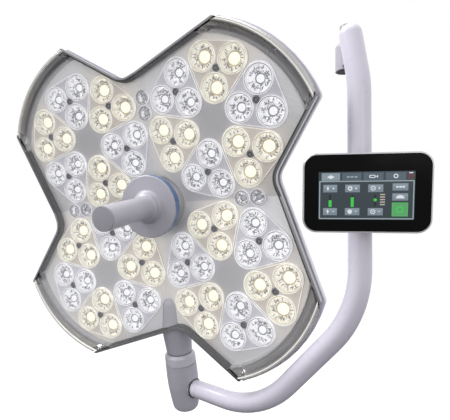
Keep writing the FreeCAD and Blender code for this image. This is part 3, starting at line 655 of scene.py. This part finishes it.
DASH_DARK = surface("dash_dark", (92, 90, 88), 0.3, tint=0.2, patch=200.0, grain=1500.0)
SCREW_DARK = surface("screw_dark", (74, 74, 78), 0.34, metal=0.8, tint=0.12, grain=1500.0)
BEZEL_METAL = surface("bezel_metal", (186, 187, 190), 0.3, metal=0.8, grain=1500.0)
PANEL_BLACK = surface("panel_black", (9, 9, 11), 0.12, tint=0.2, grain=600.0, bump=0.02, specular=0.06)
WINDOW_CLEAR = clear("window_clear", (236, 236, 240), 0.035)
DOME_CLEAR = clear("dome_clear", (240, 240, 246), 0.05)
# Lens bases, rings, walls, facets and grooves below carry a painted glow that stands in for the lamp's light
# through the optics.
BASE_COOL = clear("base_cool", (226, 225, 232), 0.6, 0.14, 0.1)
BASE_WARM = clear("base_warm", (232, 225, 218), 0.6, 0.14, 0.1)
RING_COOL = surface("ring_cool", (238, 238, 241), 0.1, coat=0.6, tint=0.15, patch=90.0, grain=600.0,
                    painted_glow=0.42)
RING_WARM = surface("ring_warm", (242, 240, 233), 0.1, coat=0.6, tint=0.14, patch=90.0, grain=600.0,
                    painted_glow=0.42)
WALL_COOL = surface("wall_cool", (238, 238, 240), 0.1, coat=0.8, tint=0.2, patch=150.0, grain=700.0,
                    painted_glow=0.42)
WALL_WARM = surface("wall_warm", (242, 237, 222), 0.1, coat=0.8, tint=0.2, patch=150.0, grain=700.0,
                    painted_glow=0.38)
FACET_COOL = facets("facet_cool", (253, 253, 255), (118, 119, 126), 0.52)
FACET_WARM = facets("facet_warm", (253, 250, 240), (140, 130, 114), 0.46)
# Grooves: the darker colour is painted shade in the recesses, with a faint painted glow.
GROOVE_COOL_SHADED = surface("groove_cool_painted_shade", (140, 140, 150), 0.25, coat=0.4, tint=0.25, patch=180.0, painted_glow=0.1)
GROOVE_WARM_SHADED = surface("groove_warm_painted_shade", (206, 192, 160), 0.25, coat=0.4, tint=0.25, patch=180.0, painted_glow=0.16)
GLOW_COOL = glowing("glow_cool", (255, 255, 255), 1.0, (236, 239, 252))
GLOW_WARM = glowing("glow_warm", (255, 254, 236), 1.12, (255, 250, 222))
# The notch pods are unlit: their faint glow is painted light.
GLOW_OFF = surface("pod_emitter", (214, 214, 222), 0.3, coat=0.4, tint=0.12, patch=150.0, painted_glow=0.12)
POD_WALL = surface("pod_wall", (186, 186, 196), 0.2, coat=0.5, tint=0.2, patch=110.0, grain=700.0, painted_glow=0.1)
REFLECTOR_PAINTED_GLOW = reflector_painted_glow_material()

KEPT = {
    "yoke_tube": PALE_PAINT, "boss_barrel": GREY_PAINT, "boss_bush": BRONZE, "boss_cap": SHADOW_CAP,
    "boss_brake_screw": SCREW_DARK, "spindle": STEEL, "spindle_circlip": STEEL, "tilt_axle": STEEL,
    "tilt_nut": STEEL, "elbow_plug": GREY_PAINT, "tilt_bush": BRONZE, "post_bush": BRONZE,
    "post_circlip": STEEL, "frame_cross": CAST, "rim": RIM_METAL, "end_seals": WINDOW_CLEAR, "gasket": RUBBER,
    "front_window": WINDOW_CLEAR, "reflector_plate": REFLECTOR_PAINTED_GLOW, "led_boards": BOARD_WHITE,
    "heat_sinks": CAST, "handle_core": STEEL, "elbow_housing": GREY_PAINT, "hinge_pin": STEEL,
    "clamp_front": DARK_PLASTIC, "clamp_rear": DARK_PLASTIC, "clamp_liner": NYLON, "clamp_screws": STEEL,
    "panel_back": DARK_PLASTIC, "panel_knuckle": DARK_PLASTIC, "panel_board": BOARD_GREEN,
}


def dress_kept_nodes():
    for name, material in KEPT.items():
        mesh = NODES[name].data
        mesh.materials.clear()
        mesh.materials.append(material)


# ---- head cover -----------------------------------------------------------------------
def build_cover():
    """Smooth hollow rear shell with a rounded shoulder and the rear hub."""
    shoulder = [(1.0, -4.0), (0.2, -4.6), (0.0, -6.0), (0.0, -13.5), (0.8, -17.0), (2.6, -20.0), (6.0, -23.6),
                (11.0, -27.4), (17.0, -31.0), (24.0, -34.2), (32.0, -36.2), (40.0, -COVER_DEPTH)]
    hollow = [(3.4, -13.0), (5.4, -18.0), (9.0, -21.4), (14.0, -25.0), (20.0, -28.4), (27.0, -31.4),
              (40.0, COVER_WALL - COVER_DEPTH)]
    ledge = [(8.2, 27.7, -4.1), (8.2, 27.7, -7.0), (4.2, 20.0, -8.0)]
    flare = (98.0, 88.0)
    hub = [(82.0, -31.5), (79.6, -38.0), (78.4, -45.0), (76.0, -51.5), (71.0, -57.0), (62.0, -60.8),
           (48.0, -62.0)]

    def hub_rings(headings, wall):
        made = [on_face([p * (radius - wall) for p in headings], wall - COVER_DEPTH) for radius in flare]
        for radius, height in hub:
            made.append([(p * (radius - wall)).to_3d() + Vector((0.0, 0.0, height + wall)) for p in headings])
        made.append([Vector((0.0, 0.0, hub[-1][1] + wall))])
        return made

    outer_rings = [on_face(outline(inset, inset), height) for inset, height in shoulder]
    inner_rings = [on_face(outline(side, end), height) for side, end, height in ledge]
    inner_rings += [on_face(outline(inset, inset), height) for inset, height in hollow]
    for rings, wall in ((outer_rings, 0.0), (inner_rings, COVER_WALL)):
        rings += hub_rings([p.to_2d().normalized() for p in rings[-1]], wall)
    form = Form().add(loft(inner_rings[::-1] + outer_rings))
    piece("cover_shell", form, HEAD, "head", [COVER_PAINT], ["back_cover"], 30.0)
    build_cover_trim()


def build_cover_trim():
    """Domed screws, and cooling slots shown as dark inserts that paint the shade inside the slots, on the
    rear shell.
    """
    screws = Form()
    head = rounded([(0.0, -40.0), (3.4, -40.0), (4.6, -38.8), (5.0, -35.4), (0.0, -35.4)], 0.8, 3)
    for count in range(LOBES):
        for centre in COVER_SCREWS:
            screws.add(lathe(head, 24, centre=centre), place=lobe_frame(count))
    piece("cover_screws", screws, HEAD, "head", [STEEL])
    # Dark inserts in place of open slots: painted shade where the openings would be.
    vent_shade_inserts = Form()
    for row in range(VENT_ROWS):
        aside = row - VENT_ROWS // 2
        reach = 30.0 - 3.0 * abs(aside)
        low, high = aside * VENT_PITCH - VENT_HALF, aside * VENT_PITCH + VENT_HALF
        strip = rounded([(-reach, low), (reach, low), (reach, high), (-reach, high)], 1.5, 4, True)
        vent_shade_inserts.add(slab(strip, [], -62.3, -61.0))
    piece("cover_vent_painted_shade", vent_shade_inserts, HEAD, "head", [DARK_PLASTIC])


# ---- optics ---------------------------------------------------------------------------
def module_centres():
    for step in range(6):
        angle = math.radians(30.0 + 60.0 * step)
        yield step, angle, -RING_R * math.sin(angle), LOBE_PITCH * SLANT + RING_R * math.cos(angle)


def lens_centres(angle, x, y):
    for turn in (math.pi, math.pi / 3, -math.pi / 3):
        yield x - LENS_OFFSET * math.sin(angle + turn), y + LENS_OFFSET * math.cos(angle + turn)


def triangle_outline(lenses, radius):
    """Rounded triangle round three lens centres."""
    steps = 10
    middle = sum((Vector(p) for p in lenses), Vector((0, 0))) / 3
    points = []
    for heading, *centre in sorted((math.atan2(y - middle.y, x - middle.x), x, y) for x, y in lenses):
        for step in range(steps + 1):
            angle = heading + math.radians(-60.0 + 120.0 * step / steps)
            points.append(Vector(centre) + Vector((math.cos(angle), math.sin(angle))) * radius)
    return points


RING, WALL, FACET, BASE, DOME, GLOW, GROOVE, DASH = range(8)


def add_lens(form, x, y, scale, spot, depth=0.0):
    """One lens: bright rim, sloping wall, faceted collar, lit emitter and a clear dome over it."""
    def sized(profile):
        return [(r * scale, z * (0.6 + 0.4 * scale) + depth) for r, z in profile]

    def turned(profile, slot, segments=40, joined=True, wobble=None):
        form.add(lathe(sized(profile), segments, joined, (x, y), wobble), slot)

    def teeth(ring, step):
        swing = (-1) ** step
        return (0.0, 0.0) if ring in (0, 5) else (0.5 * swing, 1.0 * swing * (1.0 if ring % 2 else -0.7))

    turned(rounded([(22.4, 1.0), (22.4, 4.5), (21.9, 5.2), (21.3, 4.9), (21.1, 1.0)], 0.5, 2, True), RING)
    turned([(21.1, 3.9), (20.3, 3.6), (20.2, 1.4), (21.1, 1.4)], GROOVE)
    turned([(20.2, 4.2), (19.6, 4.4), (19.3, 3.6), (18.6, -1.4), (17.9, -5.4), (17.2, -6.6), (18.2, -6.9),
            (19.4, -5.4), (20.2, 1.0)], WALL)
    turned([(18.4, -5.6), (16.4, -3.6), (14.0, -3.2), (spot + 3.0, -4.2), (spot + 2.2, -5.4),
            (spot + 1.4, -8.4), (spot + 1.4, -9.6), (18.4, -8.6)], FACET, wobble=teeth)
    turned([(spot + 2.0, -5.0), (spot + 0.9, -5.4), (spot - 0.4, -7.0), (spot - 0.4, -9.4),
            (spot + 2.0, -9.4)], GROOVE)
    collar = [(17.2, -1.6), (16.3, -0.9), (15.6, -1.5), (15.8, -4.6), (17.4, -4.6)]
    turned(rounded(collar, 0.4, 2, True), RING)
    turned([(0.0, -1.6), (spot * 0.45, -1.9), (spot * 0.78, -3.1), (spot * 0.95, -5.0), (spot, -8.8),
            (0.0, -9.4)], GLOW, 28, False)
    turned([(0.0, 9.0), (6.0, 8.7), (12.0, 7.6), (17.0, 5.8), (20.4, 4.0), (20.0, 3.4), (16.5, 5.0),
            (11.6, 6.7), (5.8, 7.8), (0.0, 8.1)], DOME, 32, False)
    for number in range(DASHES):
        uneven = math.sin(number * 2.4 + x * 0.7 + y * 1.3)
        if uneven < -0.35:
            continue
        heading = math.tau * number / DASHES + 0.12 * uneven
        spoke = Matrix.Translation((x, y, depth)) @ Matrix.Rotation(heading, 4, "Z")
        near, far = (12.6 + uneven) * scale, (16.4 + 1.6 * uneven) * scale
        corners = [Vector((near, -0.35)), Vector((far, -0.5)), Vector((far, 0.5)), Vector((near, 0.35))]
        form.add(slab(corners, [], -1.6, -0.4), DASH, spoke)


def build_modules():
    warm = [RING_WARM, WALL_WARM, FACET_WARM, BASE_WARM, DOME_CLEAR, GLOW_WARM, GROOVE_WARM_SHADED, DASH_DARK]
    cool = [RING_COOL, WALL_COOL, FACET_COOL, BASE_COOL, DOME_CLEAR, GLOW_COOL, GROOVE_COOL_SHADED, DASH_DARK]
    screws = Form()
    head = rounded([(0.0, 3.4), (1.9, 3.4), (2.1, 4.7), (4.0, 4.7), (4.6, 3.9), (4.7, 2.6), (6.0, 2.5),
                    (6.1, 2.15), (0.0, 2.15)], 0.4, 2)
    for count in range(LOBES):
        place = lobe_frame(count)
        forms = {"warm": Form(), "cool": Form()}
        for step, angle, x, y in module_centres():
            shade = "cool" if step % 2 else "warm"
            part = Form()
            lenses = list(lens_centres(angle, x, y))
            edge = triangle_outline(lenses, BASE_R)
            holes = [circle(LENS_HOLE_R, 28, *p) for p in lenses] + [circle(2.6, 12, x, y)]
            part.add(slab(edge, holes, 0.1, BASE_TOP, 0.7), BASE)
            ridge, within = (triangle_outline(lenses, BASE_R - inset) for inset in (0.5, 1.5))
            part.add(slab(ridge, [within], BASE_TOP - 0.4, BASE_TOP + 0.5, 0.25), RING)
            for px, py in lenses:
                add_lens(part, px, py, 1.0, SPOT_WARM if shade == "warm" else SPOT_COOL)
            forms[shade].merge(part, place)
            screw = Form().add(lathe(head, 20, centre=(x, y)))
            screw.paint(1, lambda p: math.hypot(p.x - x, p.y - y) > 4.1 or p.z < 3.6)
            screws.merge(screw, place)
        for shade, materials in (("warm", warm), ("cool", cool)):
            leds = ["leds_%s" % shade] if count == 0 else []
            piece("optics_%s_%d" % (shade, count + 1), forms[shade], HEAD, "head", materials,
                  ["lens_%s_%d" % (shade, count + 1)] + leds, 42.0)
    piece("module_screw_heads", screws, HEAD, "head", [SCREW_DARK, SCREW_EDGE], ["module_screws"])


def build_pods():
    """Pairs of small lenses in the open notches."""
    form = Form()
    lift = math.atan(SLOPE / math.sqrt(2.0))
    scale = POD_LENS_R / LENS_R
    for heading in POD_HEADINGS:
        place = Matrix.Rotation(math.radians(heading), 4, "Z") @ Matrix.Rotation(-lift, 4, "Y")
        local = Form()
        ends = []
        for start, radius in ((-90.0, POD_RADII[1]), (90.0, POD_RADII[0])):
            for step in range(13):
                angle = math.radians(start + 15.0 * step)
                ends.append(Vector((radius + POD_END_R * math.cos(angle), POD_END_R * math.sin(angle))))
        holes = [circle(LENS_HOLE_R * scale, 24, radius, 0.0) for radius in POD_RADII]
        local.add(slab(ends, holes, 0.6, 2.6, 0.6), BASE)
        for radius in POD_RADII:
            add_lens(local, radius, 0.0, scale, SPOT_POD, 0.9)
        form.merge(local, place)
    piece("pod_optics", form, HEAD, "head",
          [RING_COOL, POD_WALL, FACET_COOL, BASE_COOL, DOME_CLEAR, GLOW_OFF, GROOVE_COOL_SHADED, DASH_DARK],
          ["notch_pods"], 42.0)


# ---- rails ----------------------------------------------------------------------------
def rail_spans(outer):
    """For a distance in from the rail's outer face: the angles between which it runs."""
    centre, _ = end_circle()
    middle = Vector((centre.x, centre.y * SLANT))
    limits = []
    for a, b, sign, corner, margin in ((CORNER_RIGHT, NOTCH, -1, CORNER_RIGHT, RAIL_MARGIN),
                                       (quarter(NOTCH, 3), CORNER_LEFT, 1, CORNER_LEFT, -RAIL_MARGIN)):
        point, direction = inset_line(a, b, SIDE_GAP)
        line = (Vector((point.x, point.y * SLANT)), Vector((direction.x, direction.y * SLANT)).normalized())
        limits.append((line, sign, math.atan2(corner.y - centre.y, corner.x - centre.x) + margin))

    def span(inwards):
        ends = []
        for line, sign, limit in limits:
            p = cross_circle(line, middle, outer - inwards, sign)
            angle = math.atan2(p.y - middle.y, p.x - middle.x)
            limit += sign * 0.014 * max(inwards - 3.0, 0.0)
            ends.append(max(angle, limit) if sign < 0 else min(angle, limit))
        return ends
    return middle, span


def build_rails():
    """Along each lobe's outer end: a hollow trough, a rolled bead and a ribbed back."""
    trough, bead, back, closing, shadow = range(5)
    outer = end_circle()[1] + APEX * (SLANT - 1.0) / 2 - 2.0
    middle, span = rail_spans(outer)
    inner_side = [(24.0, -2.2), (18.0, -2.0), (13.8, -0.6), (10.6, 2.2), (8.6, 5.8), (7.4, 9.6), (7.0, 11.6)]
    top = [(6.2, 13.2), (5.0, 13.8), (4.0, 13.4), (3.6, 12.8), (3.1, 13.2), (2.3, 12.9), (1.3, 11.8),
           (1.3, 10.9)]
    outer_side = [(0.6, 10.5), (0.6, 9.4), (0.9, 9.1), (0.2, 8.7), (0.2, 7.2), (0.5, 6.9), (0.0, 6.5),
                  (0.0, 4.1), (1.5, -0.9), (5.0, -3.9), (24.0, -3.9)]
    section = rounded(inner_side + top + outer_side, 0.9, 3, True)
    shares = [RAIL_END_SHARE + (1 - 2 * RAIL_END_SHARE) * step / RAIL_STEPS for step in range(RAIL_STEPS + 1)]
    rings = []
    for share in [0.0, *shares, 1.0]:
        closed = share in (0.0, 1.0)
        ring = []
        for inwards, height in section:
            first, last = span(inwards)
            angle = first + (last - first) * share
            level = max(height, 10.6 - 0.12 * inwards) if closed and height > -3.0 else height
            spot = middle + Vector((math.cos(angle), math.sin(angle))) * (outer - inwards)
            ring.append(Vector((spot.x, spot.y, level)))
        rings.append(ring)
    shape = Form().add(loft(rings), trough)

    def depth(p):
        return outer - (p.to_2d() - middle).length

    shape.paint(back, lambda p: depth(p) < 3.4 or p.z < -2.6)
    # Bead faces get the metal with the painted highlight.
    shape.paint(bead, lambda p: 3.4 <= depth(p) < 7.2 and p.z > 11.4)
    shape.paint(shadow, lambda p: depth(p) < 1.4 and p.z < 4.4)
    size = len(section)
    for number in [*range(size), *range((RAIL_STEPS + 1) * size, len(shape.faces))]:
        if shape.slots[number] == trough:
            shape.slots[number] = closing
    metals = [RAIL_TROUGH_SHADED, RAIL_BEAD_HIGHLIGHT, RAIL_BACK, RAIL_END, DARK_PLASTIC]
    for count in range(LOBES):
        form = Form()
        form.merge(shape, lobe_frame(count))
        number = count + 1
        piece("rail_%d" % number, form, HEAD, "head", metals, ["grip_rail_%d" % number], 50.0)


# ---- hub, handle, post and elbow -------------------------------------------------------
def build_hub():
    seat = rounded([(13.05, -8), (56, -8), (56, -2), (46, 0.5), (HUB_R + 2, 3.5), (HUB_R, 6), (HUB_R, 31),
                    (13.05, 31)], 1.6, 4, True)
    piece("hub_boss", Form().add(lathe(seat, 96, True)), HEAD, "head", [HUB_PLASTIC], ["hub_seat"])
    low, high = HUB_RING_W
    band = rounded([(20, low), (DISC_R - 0.4, low), (DISC_R - 0.1, low + 4.6), (DISC_R - 0.9, low + 4.9),
                    (DISC_R - 0.1, low + 5.2), (DISC_R - 0.4, high), (20, high)], 0.5, 3, True)
    piece("hub_band", Form().add(lathe(band, 128, True)), HEAD, "head", [BLUE_RING], ["hub_ring"])
    low, top = DISC_W
    disc = rounded([(GRIP_HOLE_R, low), (DISC_R - 0.4, low), (DISC_R, low + 1), (DISC_R, top - 1.2),
                    (DISC_R - 1.4, top), (28.0, top), (26.6, top + 3), (24.6, top + 4.4), (23.6, top + 10),
                    (20.4, top + 13), (GRIP_HOLE_R, top + 13)], 1.2, 4, True)
    flange = Form().add(lathe(disc, 128, True))
    flange.paint(1, lambda p: math.hypot(p.x, p.y) > DISC_R - 0.9 and p.z < top - 1.3)
    piece("handle_flange", flange, HEAD, "sleeve", [HANDLE_PLASTIC, BLUE_RING], ["handle_disc"])
    base = top + 13.05
    end = GRIP_END - 3.1
    grip = rounded([(GRIP_HOLE_R, base), (20.2, base), (20.2, base + 1.4), (19.2, base + 2.6),
                    (GRIP_R + 0.3, base + 9), (GRIP_R, base + 18), (GRIP_R, end), (GRIP_HOLE_R, end)],
                   0.8, 4, True)
    sleeve = Form().add(lathe(grip, 96, True))
    piece("handle_sleeve", sleeve, HEAD, "sleeve", [HANDLE_PLASTIC], ["handle_grip"])
    cap = rounded([(0, GRIP_END - 3), (GRIP_R, GRIP_END - 3), (GRIP_R, GRIP_END), (0, GRIP_END)], 0.9, 4)
    piece("handle_end", Form().add(lathe(cap, 96)), HEAD, "sleeve", [CAP_PLASTIC], ["handle_cap"])


def build_post():
    foot = COLLAR_TOP + 0.3
    neck = rounded([(0, foot), (22.9, foot), (23.4, 72), (24.6, 86), (26.0, 104), (25.6, 116), (23.4, 128),
                    (21.4, 142), (19.4, 156), (15.2, 164), (8.4, 168.5), (0, 170)], 6.0, 5)
    post = Form().add(lathe(neck, 72))
    post.add(lathe([(0, 20.5), (13.95, 20.5), (13.95, foot + 0.2), (0, foot + 0.2)], 48), 1)
    piece("post_neck", post, ELBOW, "head", [GREY_PAINT, STEEL], ["post"])
    low, high = ELBOW_TOP, COLLAR_TOP
    ring = rounded([(17.0, low), (26.6, low), (26.6, low + 1.2), (27.5, low + 1.4), (27.3, high - 4.4),
                    (23.4, high), (17.0, high)], 0.7, 4, True)
    collar = Form().add(lathe(ring, 96, True))
    piece("swivel_collar", collar, ELBOW, "elbow", [COLLAR_PAINT], ["elbow_collar"])
    seal = rounded([(15.2, -1.6), (16.4, -1.6), (16.9, 0.0), (16.2, 0.9), (15.2, 0.9)], 0.5, 3, True)
    turn = Matrix.Translation((27.6, 0, 0)) @ Matrix.Rotation(math.pi / 2, 4, "Y")
    piece("tilt_seal", Form().add(lathe(seal, 64, True), place=turn), ELBOW, "elbow", [DARK_PLASTIC])


# ---- touch panel ----------------------------------------------------------------------
def lit(name, colour):
    """One colour of the lit screen, with its faint dot grid and a soft fall-off."""
    made = Shader(name)
    base = srgb(*colour)
    vector = made.coords(PANEL)
    grid = made.node("ShaderNodeTexChecker", {"Vector": vector, "Scale": 3600.0, "Color1": base,
                                              "Color2": scaled(base, 0.88)}).outputs[0]
    soft = made.noise(vector, 45.0, 2.0)
    shade = made.blend(made.spread(soft, 0.0, 0.3), grid, scaled(base, 0.7))
    made.put("Base Color", scaled(base, 0.25))
    made.put("Emission Color", shade)
    made.put("Emission Strength", 0.75)
    made.put("Roughness", 0.18)
    return made.material


def upright(shape, front=0.0, centre=(0.0, 0.0)):
    """Stand a flat shape up in the panel frame, so that its top faces the viewer."""
    points, faces = shape
    return [Vector((p.x + centre[0], -front - p.z, p.y + centre[1])) for p in points], faces


def box_outline(left, right, low, high, radius=0.5):
    return rounded([(left, low), (right, low), (right, high), (left, high)], radius, 3, True)


def frame_outline(left, right, low, high, width):
    inner = box_outline(left + width, right - width, low + width, high - width, 0.3)
    return slab(box_outline(left, right, low, high, 0.8), [inner], 0.0, 0.12)


def panel_outline(inset):
    """The panel's rounded rectangle, moved in, from its top right corner on."""
    radius = PANEL_CORNER_R - inset
    across = PANEL_SIZE[0] / 2 - inset - radius
    up = PANEL_SIZE[1] / 2 - inset - radius
    points = []
    for x, z, start in ((across, up, 0), (-across, up, 90), (-across, -up, 180), (across, -up, 270)):
        for step in range(11):
            angle = math.radians(start + 9 * step)
            points.append(Vector((x + radius * math.cos(angle), z + radius * math.sin(angle))))
    return points


def build_panel():
    glass = slab(panel_outline(1.75), [], PANEL_FRONT - 2.2, PANEL_FRONT, 0.5)
    piece("screen_glass", Form().add(upright(glass)), PANEL, "panel", [PANEL_BLACK], ["panel_glass"])
    bezel = slab(panel_outline(0.0), [panel_outline(1.7)], PANEL_FRONT - 4.9, PANEL_FRONT - 0.4, 0.6)
    piece("screen_bezel", Form().add(upright(bezel)), PANEL, "panel", [BEZEL_METAL], ["panel_bezel"])
    build_screen()


INKS = {
    "slate": (44, 58, 66), "tab": (78, 96, 108), "tab_on": (138, 154, 164), "button": (124, 138, 150),
    "line": (158, 174, 180), "white": (232, 236, 240), "green": (52, 208, 70), "green_dark": (92, 164, 108),
    "black": (6, 8, 8), "red": (120, 34, 34), "cream": (190, 186, 168),
}


def build_screen():
    """Lit controls: generic tabs, buttons, sliders and plain icons, without any lettering."""
    slate, tab, tab_on, button, line, white, green, dark_green, black, red, cream = range(len(INKS))
    inks = [lit("ui_" + name, colour) for name, colour in INKS.items()]
    form = Form()
    face = PANEL_FRONT

    def patch(outline_points, ink, level, holes=()):
        sheet = slab(outline_points, list(holes), 0.0, 0.1)
        form.add(upright(sheet, face + 0.02 + 0.1 * level, DISPLAY_AT), ink)

    def bar(left, right, low, high, ink, level, radius=0.4):
        patch(box_outline(left, right, low, high, radius), ink, level)

    def disc(x, z, radius, ink, level, inner=0.0):
        patch(circle(radius, 20, x, z), ink, level, [circle(inner, 20, x, z)] if inner else [])

    def shape(points, x, z, ink, level):
        patch([Vector((x + a, z + b)) for a, b in points], ink, level)

    def plus(x, z):
        bar(x - 1.3, x + 1.3, z - 0.35, z + 0.35, white, 3, 0.1)
        bar(x - 0.35, x + 0.35, z - 1.3, z + 1.3, white, 4, 0.1)

    bar(-54.7, 54.7, -29.2, 29.2, slate, 0, 0.6)
    form.add(upright(frame_outline(-54.0, 54.0, -28.6, 18.2, 1.2), face + 0.12, DISPLAY_AT), line)
    for number, (left, right) in enumerate(((-51.2, -29.8), (-27.4, -5.3), (-3.0, 19.5), (22.0, 44.7))):
        bar(left, right, 18.6, 27.8, tab if number else tab_on, 1)
    shape([(-4.4, 0), (0, 2.4), (4.4, 0), (0, -2.4)], -40.5, 23.0, white, 2)
    for left in (-22.0, -17.6, -13.2):
        bar(left, left + 3.2, 22.0, 23.8, line, 2, 0.3)
    patch(box_outline(3.6, 10.6, 21.4, 25.0, 1.2), white, 2, [box_outline(4.6, 9.6, 22.3, 24.1, 0.6)])
    shape([(0, 0), (2.4, 1.7), (2.4, -1.7)], 11.0, 23.2, white, 2)
    disc(33.4, 23.4, 2.7, white, 2, 1.6)
    bar(47.8, 52.3, 26.4, 27.7, white, 1, 0.3)
    patch(box_outline(47.0, 53.2, 20.6, 25.0, 0.4), red, 1, [box_outline(48.2, 52.0, 21.6, 24.0, 0.3)])
    for number, (left, right) in enumerate(((-49.2, -32.9), (-23.7, -6.8), (2.6, 19.7))):
        icon, sign = left + 5.4, right - 4.4
        for low, high, level in ((4.3, 13.6, 1), (-23.9, -15.0, -1)):
            middle = (low + high) / 2
            bar(left, right, low, high, button, 1)
            bar(left + 0.6, right - 0.6, middle + 0.6, high - 0.6, tab_on, 2, 0.3)
            if number == 0:
                shape([(-1.4, 0), (0, 2.8), (1.4, 0), (0, -2.8)], icon, middle, white, 3)
            elif number == 1:
                disc(icon + 0.3, middle, 2.7, white, 3, 0.0 if level < 0 else 1.2)
            else:
                disc(icon + 0.3, middle, 2.9, white, 3, 2.0)
                bar(icon - 0.9, icon + 1.5, middle - 0.4, middle + 0.4, white, 4, 0.2)
            if level > 0:
                plus(sign, middle)
            else:
                bar(sign - 1.3, sign + 1.3, middle - 0.35, middle + 0.35, white, 3, 0.1)
    for x, top in ((-41.0, -5.4), (-15.3, -1.8)):
        bar(x - 1.2, x + 1.2, -13.4, 1.0, black, 1, 0.2)
        bar(x - 1.7, x + 1.7, -13.6, top, green, 2, 0.3)
    bar(9.6, 11.9, -12.6, 1.4, black, 1, 0.2)
    disc(10.8, -5.1, 1.9, green, 2)
    for z in (1.3, -1.7, -4.8, -7.8, -10.8):
        bar(16.2, 21.8, z - 0.7, z + 0.7, cream, 1, 0.3)
    for low, high in ((6.0, 14.7), (-6.0, 2.7)):
        bar(29.9, 47.4, low, high, button, 1)
        bar(30.5, 46.8, (low + high) / 2 + 0.4, high - 0.6, tab_on, 2, 0.3)
    for left in (33.8, 37.3, 40.8):
        bar(left, left + 2.8, 9.4, 11.4, white, 3, 0.3)
    shape([(-5, -1.6), (-4, 0.6), (-2, 2.2), (2, 2.2), (4, 0.6), (5, -1.6)], 38.6, -1.8, white, 3)
    bar(29.7, 47.6, -25.0, -8.5, green, 1)
    bar(30.3, 47.0, -24.4, -9.1, dark_green, 2)
    disc(38.6, -16.8, 4.4, green, 3, 2.7)
    piece("screen_controls", form, PANEL, "panel", inks, ["display"])


# ---- stage ----------------------------------------------------------------------------
def build_floor():
    floor_mesh = bpy.data.meshes.new("studio_floor")
    cleaned = bmesh.new()
    bmesh.ops.create_circle(cleaned, cap_ends=True, segments=96, radius=FLOOR_R)
    cleaned.to_mesh(floor_mesh)
    cleaned.free()
    floor = new_object("studio_floor", floor_mesh)
    floor.location = (0, 0, CAD_BOX[0].z - FLOOR_DROP)
    paper = Shader("studio_paper")
    speck = paper.noise(paper.coords(), 3.0, 3.0)
    tone = paper.blend(paper.spread(speck, 0.0, 1.0), (0.935, 0.935, 0.935, 1), (0.945, 0.945, 0.945, 1))
    paper.put("Base Color", tone)
    paper.put("Roughness", 0.9)
    paper.put("Emission Color", (1.0, 1.0, 1.0, 1.0))
    paper.put("Emission Strength", 0.12)
    floor_mesh.materials.append(paper.material)
    floor.visible_diffuse = False
    floor.visible_glossy = False


def build_world():
    """Soft white surroundings, dark below the horizon."""
    world = bpy.data.worlds.new("studio")
    bpy.context.scene.world = world
    world.use_nodes = True
    sky = Nodes(world.node_tree)
    direction = sky.node("ShaderNodeTexCoord").outputs["Generated"]
    height = sky.node("ShaderNodeSeparateXYZ", {"Vector": direction}).outputs[2]
    ramp = sky.node("ShaderNodeValToRGB", {"Fac": sky.math("MULTIPLY_ADD", height, 0.5, 0.5)})
    stops = ((0.22, (0.06, 0.06, 0.07, 1.0)), (0.45, (1.0, 1.0, 1.0, 1.0)))
    for element, (position, colour) in zip(ramp.color_ramp.elements, stops):
        element.position = position
        element.color = colour
    sky.feed(sky.tree.nodes["Background"].inputs["Color"], ramp.outputs[0])


def build_lamps():
    middle = (CAD_BOX[0] + CAD_BOX[1]) / 2
    for name, (offset, size, power) in LAMPS.items():
        lamp = bpy.data.lights.new(name, "AREA")
        lamp.size = size
        lamp.energy = power
        stand = new_object(name, lamp)
        stand.location = middle + Vector(offset)
        stand.rotation_euler = Vector(offset).to_track_quat("Z", "Y").to_euler()


def build_camera():
    camera = new_object("camera", bpy.data.cameras.new("camera"))
    camera.data.lens = CAMERA_LENS
    camera.data.shift_x = CAMERA_SHIFT
    camera.data.clip_start = 0.01
    camera.data.clip_end = 60.0
    look = CAMERA_LOOK.normalized().to_track_quat("-Z", "Y").to_matrix().to_4x4()
    camera.matrix_world = Matrix.Translation(CAMERA_AT) @ look @ Matrix.Rotation(CAMERA_ROLL, 4, "Z")
    bpy.context.scene.camera = camera
    bpy.context.scene.view_settings.view_transform = "Standard"


dress_kept_nodes()
build_cover()
build_modules()
build_pods()
build_rails()
build_hub()
build_post()
build_panel()
build_floor()
build_world()
build_lamps()
build_camera()
